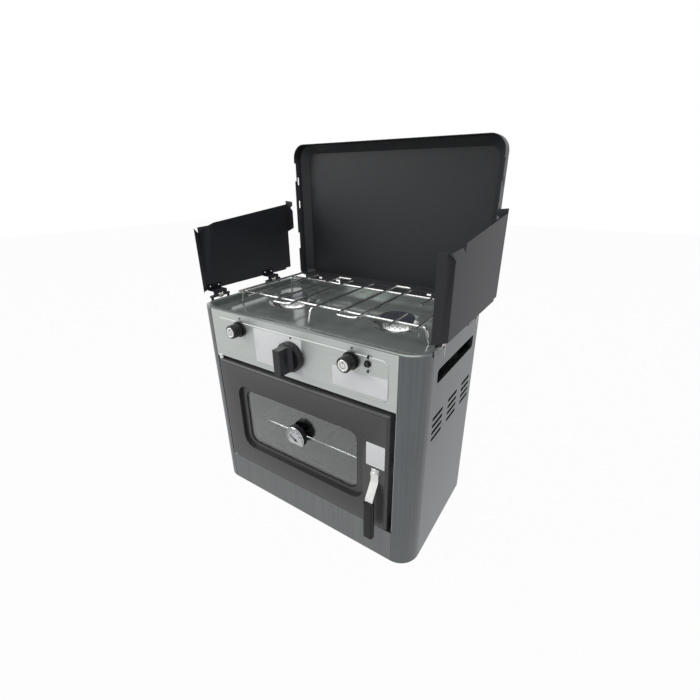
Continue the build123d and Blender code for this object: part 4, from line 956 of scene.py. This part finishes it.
def rounded_outline(wide, tall, corner, steps=5):
    """Points of a rounded rectangle about its centre, in mm."""
    points = []
    for n, (sx, sz) in enumerate(((1, 1), (-1, 1), (-1, -1), (1, -1))):
        x, z = sx * (wide / 2 - corner), sz * (tall / 2 - corner)
        for k in range(steps + 1):
            a = math.radians(90 * n + 90 * k / steps)
            points.append((x + corner * math.cos(a), z + corner * math.sin(a)))
    return points


def slab(bm, outline, x, y, z, thick):
    """An outline of (x, z) about a point, pushed out of the front by its thickness, in mm."""
    layers = ((1.0, 0.15), (1.0, -0.7 * thick), (0.985, -thick))
    prism(bm, [[(x + u * grow, y + out, z + w * grow) for u, w in outline] for grow, out in layers])


def flame_outline(tall, wide, lean):
    """A flame: pointed at the top and round at the bottom."""
    points = []
    for k in range(16):
        t = 2 * math.pi * k / 16
        pinch = math.sin(t / 2) ** 1.6
        across = wide / 2 * math.sin(t) * pinch + lean * (1 + math.cos(t)) / 2
        points.append((across, tall / 2 * math.cos(t)))
    return points


def ring_of_dots(bm, centre, radius, first, step, count, dot, thick):
    """Small round dots along an arc about (x, z) on the panel; angles are in degrees."""
    for k in range(count):
        a = math.radians(first + step * k)
        x, z = centre[0] + radius * math.cos(a), centre[1] + radius * math.sin(a)
        slab(bm, dot, x, panel_front, z, thick)


print("outlines ready")

# %% Plates
PLATE_CORNER, PLATE_THICK, PROBE_INSET = 1.5, 0.25, 6
plates = {"plate_left": ("control_panel", -92, 24, 346, 415, "cabinet"),
          "plate_right": ("control_panel", 89, 194, 351, 387, "cabinet"),
          "plate_door": ("door_outer", 157.5, 194, 214, 261, "door")}
for name, (node, x0, x1, z0, z1, body) in plates.items():
    front_face = landing(node, (x1 - PROBE_INSET, BEFORE, z0 + PROBE_INSET), BACK).y

    def plate(bm):
        outline = rounded_outline(x1 - x0, z1 - z0, PLATE_CORNER)
        slab(bm, outline, (x0 + x1) / 2, front_face, (z0 + z1) / 2, PLATE_THICK)

    mesh_piece(name, plate, label_vinyl, body)
print("plates:", len(plates))

# %% Printed marks
INK, INK_ON_PLATE = 0.06, 0.3
hob_knob_x, hob_knob_z, oven_knob_z = 128, 405, 380
hob_marks_ring, oven_marks_ring = 19.5, 33
igniter_x, igniter_z = 158, 406
flame_tall, flame_wide, flame_lean = 8.5, 7.5, 1.2
stroke_shift, stroke_rise = 5.5, 1.5


def marks(bm):
    y = panel_front
    for z in (418, 394):
        slab(bm, flame_outline(flame_tall, flame_wide, flame_lean), igniter_x, y, z, INK)
        slab(bm, rounded_outline(1.0, 3.0, 0.45), igniter_x + stroke_shift, y, z + stroke_rise, INK)
    for x in (-hob_knob_x, hob_knob_x):
        slab(bm, [(-2.2, 2.4), (2.2, 2.4), (0, -2.2)], x, y, hob_knob_z + hob_marks_ring, INK)
        ring_of_dots(bm, (x, hob_knob_z), hob_marks_ring, 200, 28, 5, rounded_outline(1.4, 1.4, 0.6, 3), INK)
    slab(bm, [(-2.6, 2.8), (2.6, 2.8), (0, -2.6)], 0, y, oven_knob_z + oven_marks_ring, INK_ON_PLATE)
    dot = rounded_outline(1.0, 1.0, 0.45, 3)
    ring_of_dots(bm, (0, oven_knob_z), oven_marks_ring, -150, 20, 7, dot, INK_ON_PLATE)


mesh_piece("panel_print", marks, print_ink, "cabinet")
print("marks printed at y", round(panel_front, 2))

# %% Igniter button
igniter = Vector((igniter_x, panel_front, igniter_z))


def button(bm):
    collar = [(0, -0.2), (6.2, -0.2), (6.2, 1.2), (5.6, 1.8), (4.5, 1.8), (4.5, 1.2)]
    cap = [(4.1, 1.2), (4.1, 5.2), (3.5, 6.0), (1.8, 5.6), (0, 5.5)]
    lathe(bm, collar + cap, igniter, FRONT)


mesh_piece("igniter_button", button, knob_plastic, "cabinet")
print("igniter at", [round(c) for c in igniter])

# %% [markdown]
# ## Knob faces
# Each hob knob ends in a bright ring round a pale face with a raised pointer and a fine ring. The ring and
# face are one turned profile, and a thin disc in the frame is replaced by it.

# %% Rings, faces and pointers
disc_front, pointer_rise = 0.45, 5.6
for side in SIGN:
    node = f"knob_disc_{side}"
    at = middle(node)
    at.y = box_mm(node)[1].y

    def ring(bm):
        profile = [(0, 0), (9.6, 0), (9.6, 0.5), (9.2, 0.8), (8.4, 0.8), (8.0, disc_front), (0, disc_front)]
        lathe(bm, profile, at, FRONT, sides=48)

    def face_print(bm):
        lathe(bm, [(5.1, 0.4), (5.1, 0.56), (4.4, 0.56), (4.4, 0.4)], at, FRONT, sides=40, loop=True)
        slab(bm, rounded_outline(1.3, 3.4, 0.6), at.x, at.y - disc_front, at.z + pointer_rise, 0.12)

    mesh_piece(f"knob_ring_{side}", ring, bright_steel, body_under(node), node)
    mesh_piece(f"knob_print_{side}", face_print, print_ink, body_under(node))
print("knob faces done")

# %% [markdown]
# ## Thermometer dial
# The dial is a circle with its lower part cut off straight. Long and short ticks run round it and four
# numbers stand inside them. Ticks are low slabs that point at the scale's middle, and the numbers are text
# that becomes a mesh before it is placed.

# %% Dial face and bezel
low, high = box_mm("thermometer")
needle_back = box_mm("thermometer_needle")[1].y
bezel_outer, bezel_ridge, bezel_inner = 23.0, 22.2, 20.4
bezel_wide, ridge_wide = 2.6, 1.8
dial_radius = 20.3
needle_clearance = 0.7
dial_middle = high.z - bezel_outer
dial_face = needle_back + needle_clearance
dial_cut = low.z + bezel_wide - dial_middle


def cut_circle(radius, cut, steps=48):
    """A circle's outline closed by a level line at the given height, in mm."""
    start = math.asin(cut / radius)
    angles = [start + (math.pi - 2 * start) * k / steps for k in range(steps + 1)]
    return [(radius * math.cos(a), radius * math.sin(a)) for a in angles]


def dial_plate(bm):
    slab(bm, cut_circle(dial_radius, dial_cut), 0, dial_face, dial_middle, 0.2)


def dial_bezel(bm):
    """A rolled ring round the cut circle: one section carried along the outline."""
    outer = cut_circle(bezel_outer, dial_cut - bezel_wide)
    ridge = cut_circle(bezel_ridge, dial_cut - ridge_wide)
    inner = cut_circle(bezel_inner, dial_cut)
    rings = [(outer, low.y + 2.6), (outer, low.y + 0.8), (ridge, low.y), (inner, low.y + 0.7),
             (inner, dial_face)]
    loops = [[bm.verts.new(Vector((u, y, dial_middle + w)) * MM) for u, w in outline] for outline, y in rings]
    bridge(bm, loops + loops[:1])


mesh_piece("dial_plate", dial_plate, dial_white, "door")
mesh_piece("dial_bezel", dial_bezel, bright_steel, "door")
print("dial face at y", round(dial_face, 2))

# %% Ticks
tick_ring, tick_count, tick_turn = 18.0, 25, 200
ink_on_dial = 0.2
above_cut = 1.5
scale_middle = dial_middle - 1


def ticks(bm):
    """Every fourth tick is long; those that would run past the cut are left out."""
    for k in range(tick_count):
        angle = math.radians(90 - tick_turn / 2 + tick_turn * k / (tick_count - 1))
        length, wide = (3.6, 0.55) if k % 4 == 0 else (2.0, 0.3)
        along = Vector((math.cos(angle), 0, math.sin(angle)))
        centre = Vector((0, dial_face - ink_on_dial, scale_middle)) + along * (tick_ring - length / 2)
        if centre.z < dial_middle + dial_cut + above_cut:
            continue
        aside = Vector((-along.z, 0, along.x))
        corners = [centre + along * u * length / 2 + aside * w * wide / 2
                   for u, w in ((1, 1), (-1, 1), (-1, -1), (1, -1))]
        prism(bm, [[corner + BACK * out for corner in corners] for out in (0.05, -0.06)])


mesh_piece("dial_ticks", ticks, print_ink, "door")
print("ticks on an arc of", tick_turn, "degrees")

# %% Numbers
number_ring, number_tall = 11.6, 4.2
number_half_thick = 0.04


def numeral(text, place, name):
    """A number as a thin mesh on the dial, upright and facing the front."""
    data = bpy.data.curves.new(name, "FONT")
    data.body = text
    data.size = number_tall * MM
    data.align_x = "CENTER"
    data.align_y = "CENTER"
    data.extrude = number_half_thick * MM
    letters = bpy.data.objects.new(name + "_text", data)
    scene.collection.objects.link(letters)
    made = baked(letters)
    made.transform(Matrix.Translation(Vector(place) * MM) @ Matrix.Rotation(math.pi / 2, 4, "X"))
    return made


figures = bmesh.new()
for value, degrees in (("100", 160), ("200", 115), ("300", 65), ("400", 20)):
    angle = math.radians(degrees)
    place = (number_ring * math.cos(angle), dial_face - ink_on_dial - number_half_thick,
             scale_middle + number_ring * math.sin(angle))
    mesh = numeral(value, place, "numeral_" + value)
    figures.from_mesh(mesh)
    bpy.data.meshes.remove(mesh)
put_piece("dial_numbers", mesh_from(figures, "dial_numbers"), print_ink, "door")
print("numbers on a ring of", number_ring, "mm")

# %% [markdown]
# ## Latch
# The latch strap is held by a shouldered bolt with a domed head, and the strap's top is round about it.
# A Boolean takes the two square corners off a copy of the solid, in front of the door only.

# %% Strap with a round top
latch_x, bolt_z = 176.5, 201
strap_half, strap_mid_depth = 7.5, 0.8
above_strap = 260
cutter_front, cutter_back = -175, -160.2
strap_front = landing("latch_lever", (latch_x, BEFORE, bolt_z + 2), BACK).y
strap_top = landing("latch_lever", (latch_x, strap_front + strap_mid_depth, above_strap), -UP).z


def corners_cutter(bm):
    """All that lies outside the half circle at the strap's top."""
    z, wide, tall = strap_top - strap_half, strap_half * 1.3, 11
    arc = [math.pi * k / 16 for k in range(1, 16)]
    outline = [(-wide, 0), (-strap_half, 0)]
    outline += [(-strap_half * math.cos(a), strap_half * math.sin(a)) for a in arc]
    outline += [(strap_half, 0), (wide, 0), (wide, tall), (-wide, tall)]
    prism(bm, [[(latch_x + u, y, z + w) for u, w in outline] for y in (cutter_front, cutter_back)])


cutter = mesh_piece("strap_cutter", corners_cutter, bright_steel, None)
blank = bpy.data.objects.new("latch_strap_blank", mesh_from(merged_copy("latch_lever"), "latch_strap_blank"))
scene.collection.objects.link(blank)
cut = blank.modifiers.new("cut", "BOOLEAN")
cut.operation = "DIFFERENCE"
cut.solver = "EXACT"
cut.object = cutter
mesh = baked(blank)
bpy.data.objects.remove(cutter)
mesh.materials.clear()
put_piece("latch_strap", mesh, bright_steel, "latch", "latch_lever")
print("strap's top at", round(strap_top, 1), "mm")

# %% Latch bolt


def bolt(bm):
    at = Vector((latch_x, strap_front, bolt_z))
    lathe(bm, [(0, -0.5), (4.6, -0.5), (4.6, 1.0), (4.0, 1.6), (2.0, 1.9), (0, 2.0)], at, FRONT)


mesh_piece("latch_bolt", bolt, bright_steel, "latch")
print("bolt on the strap at y", round(strap_front, 2))
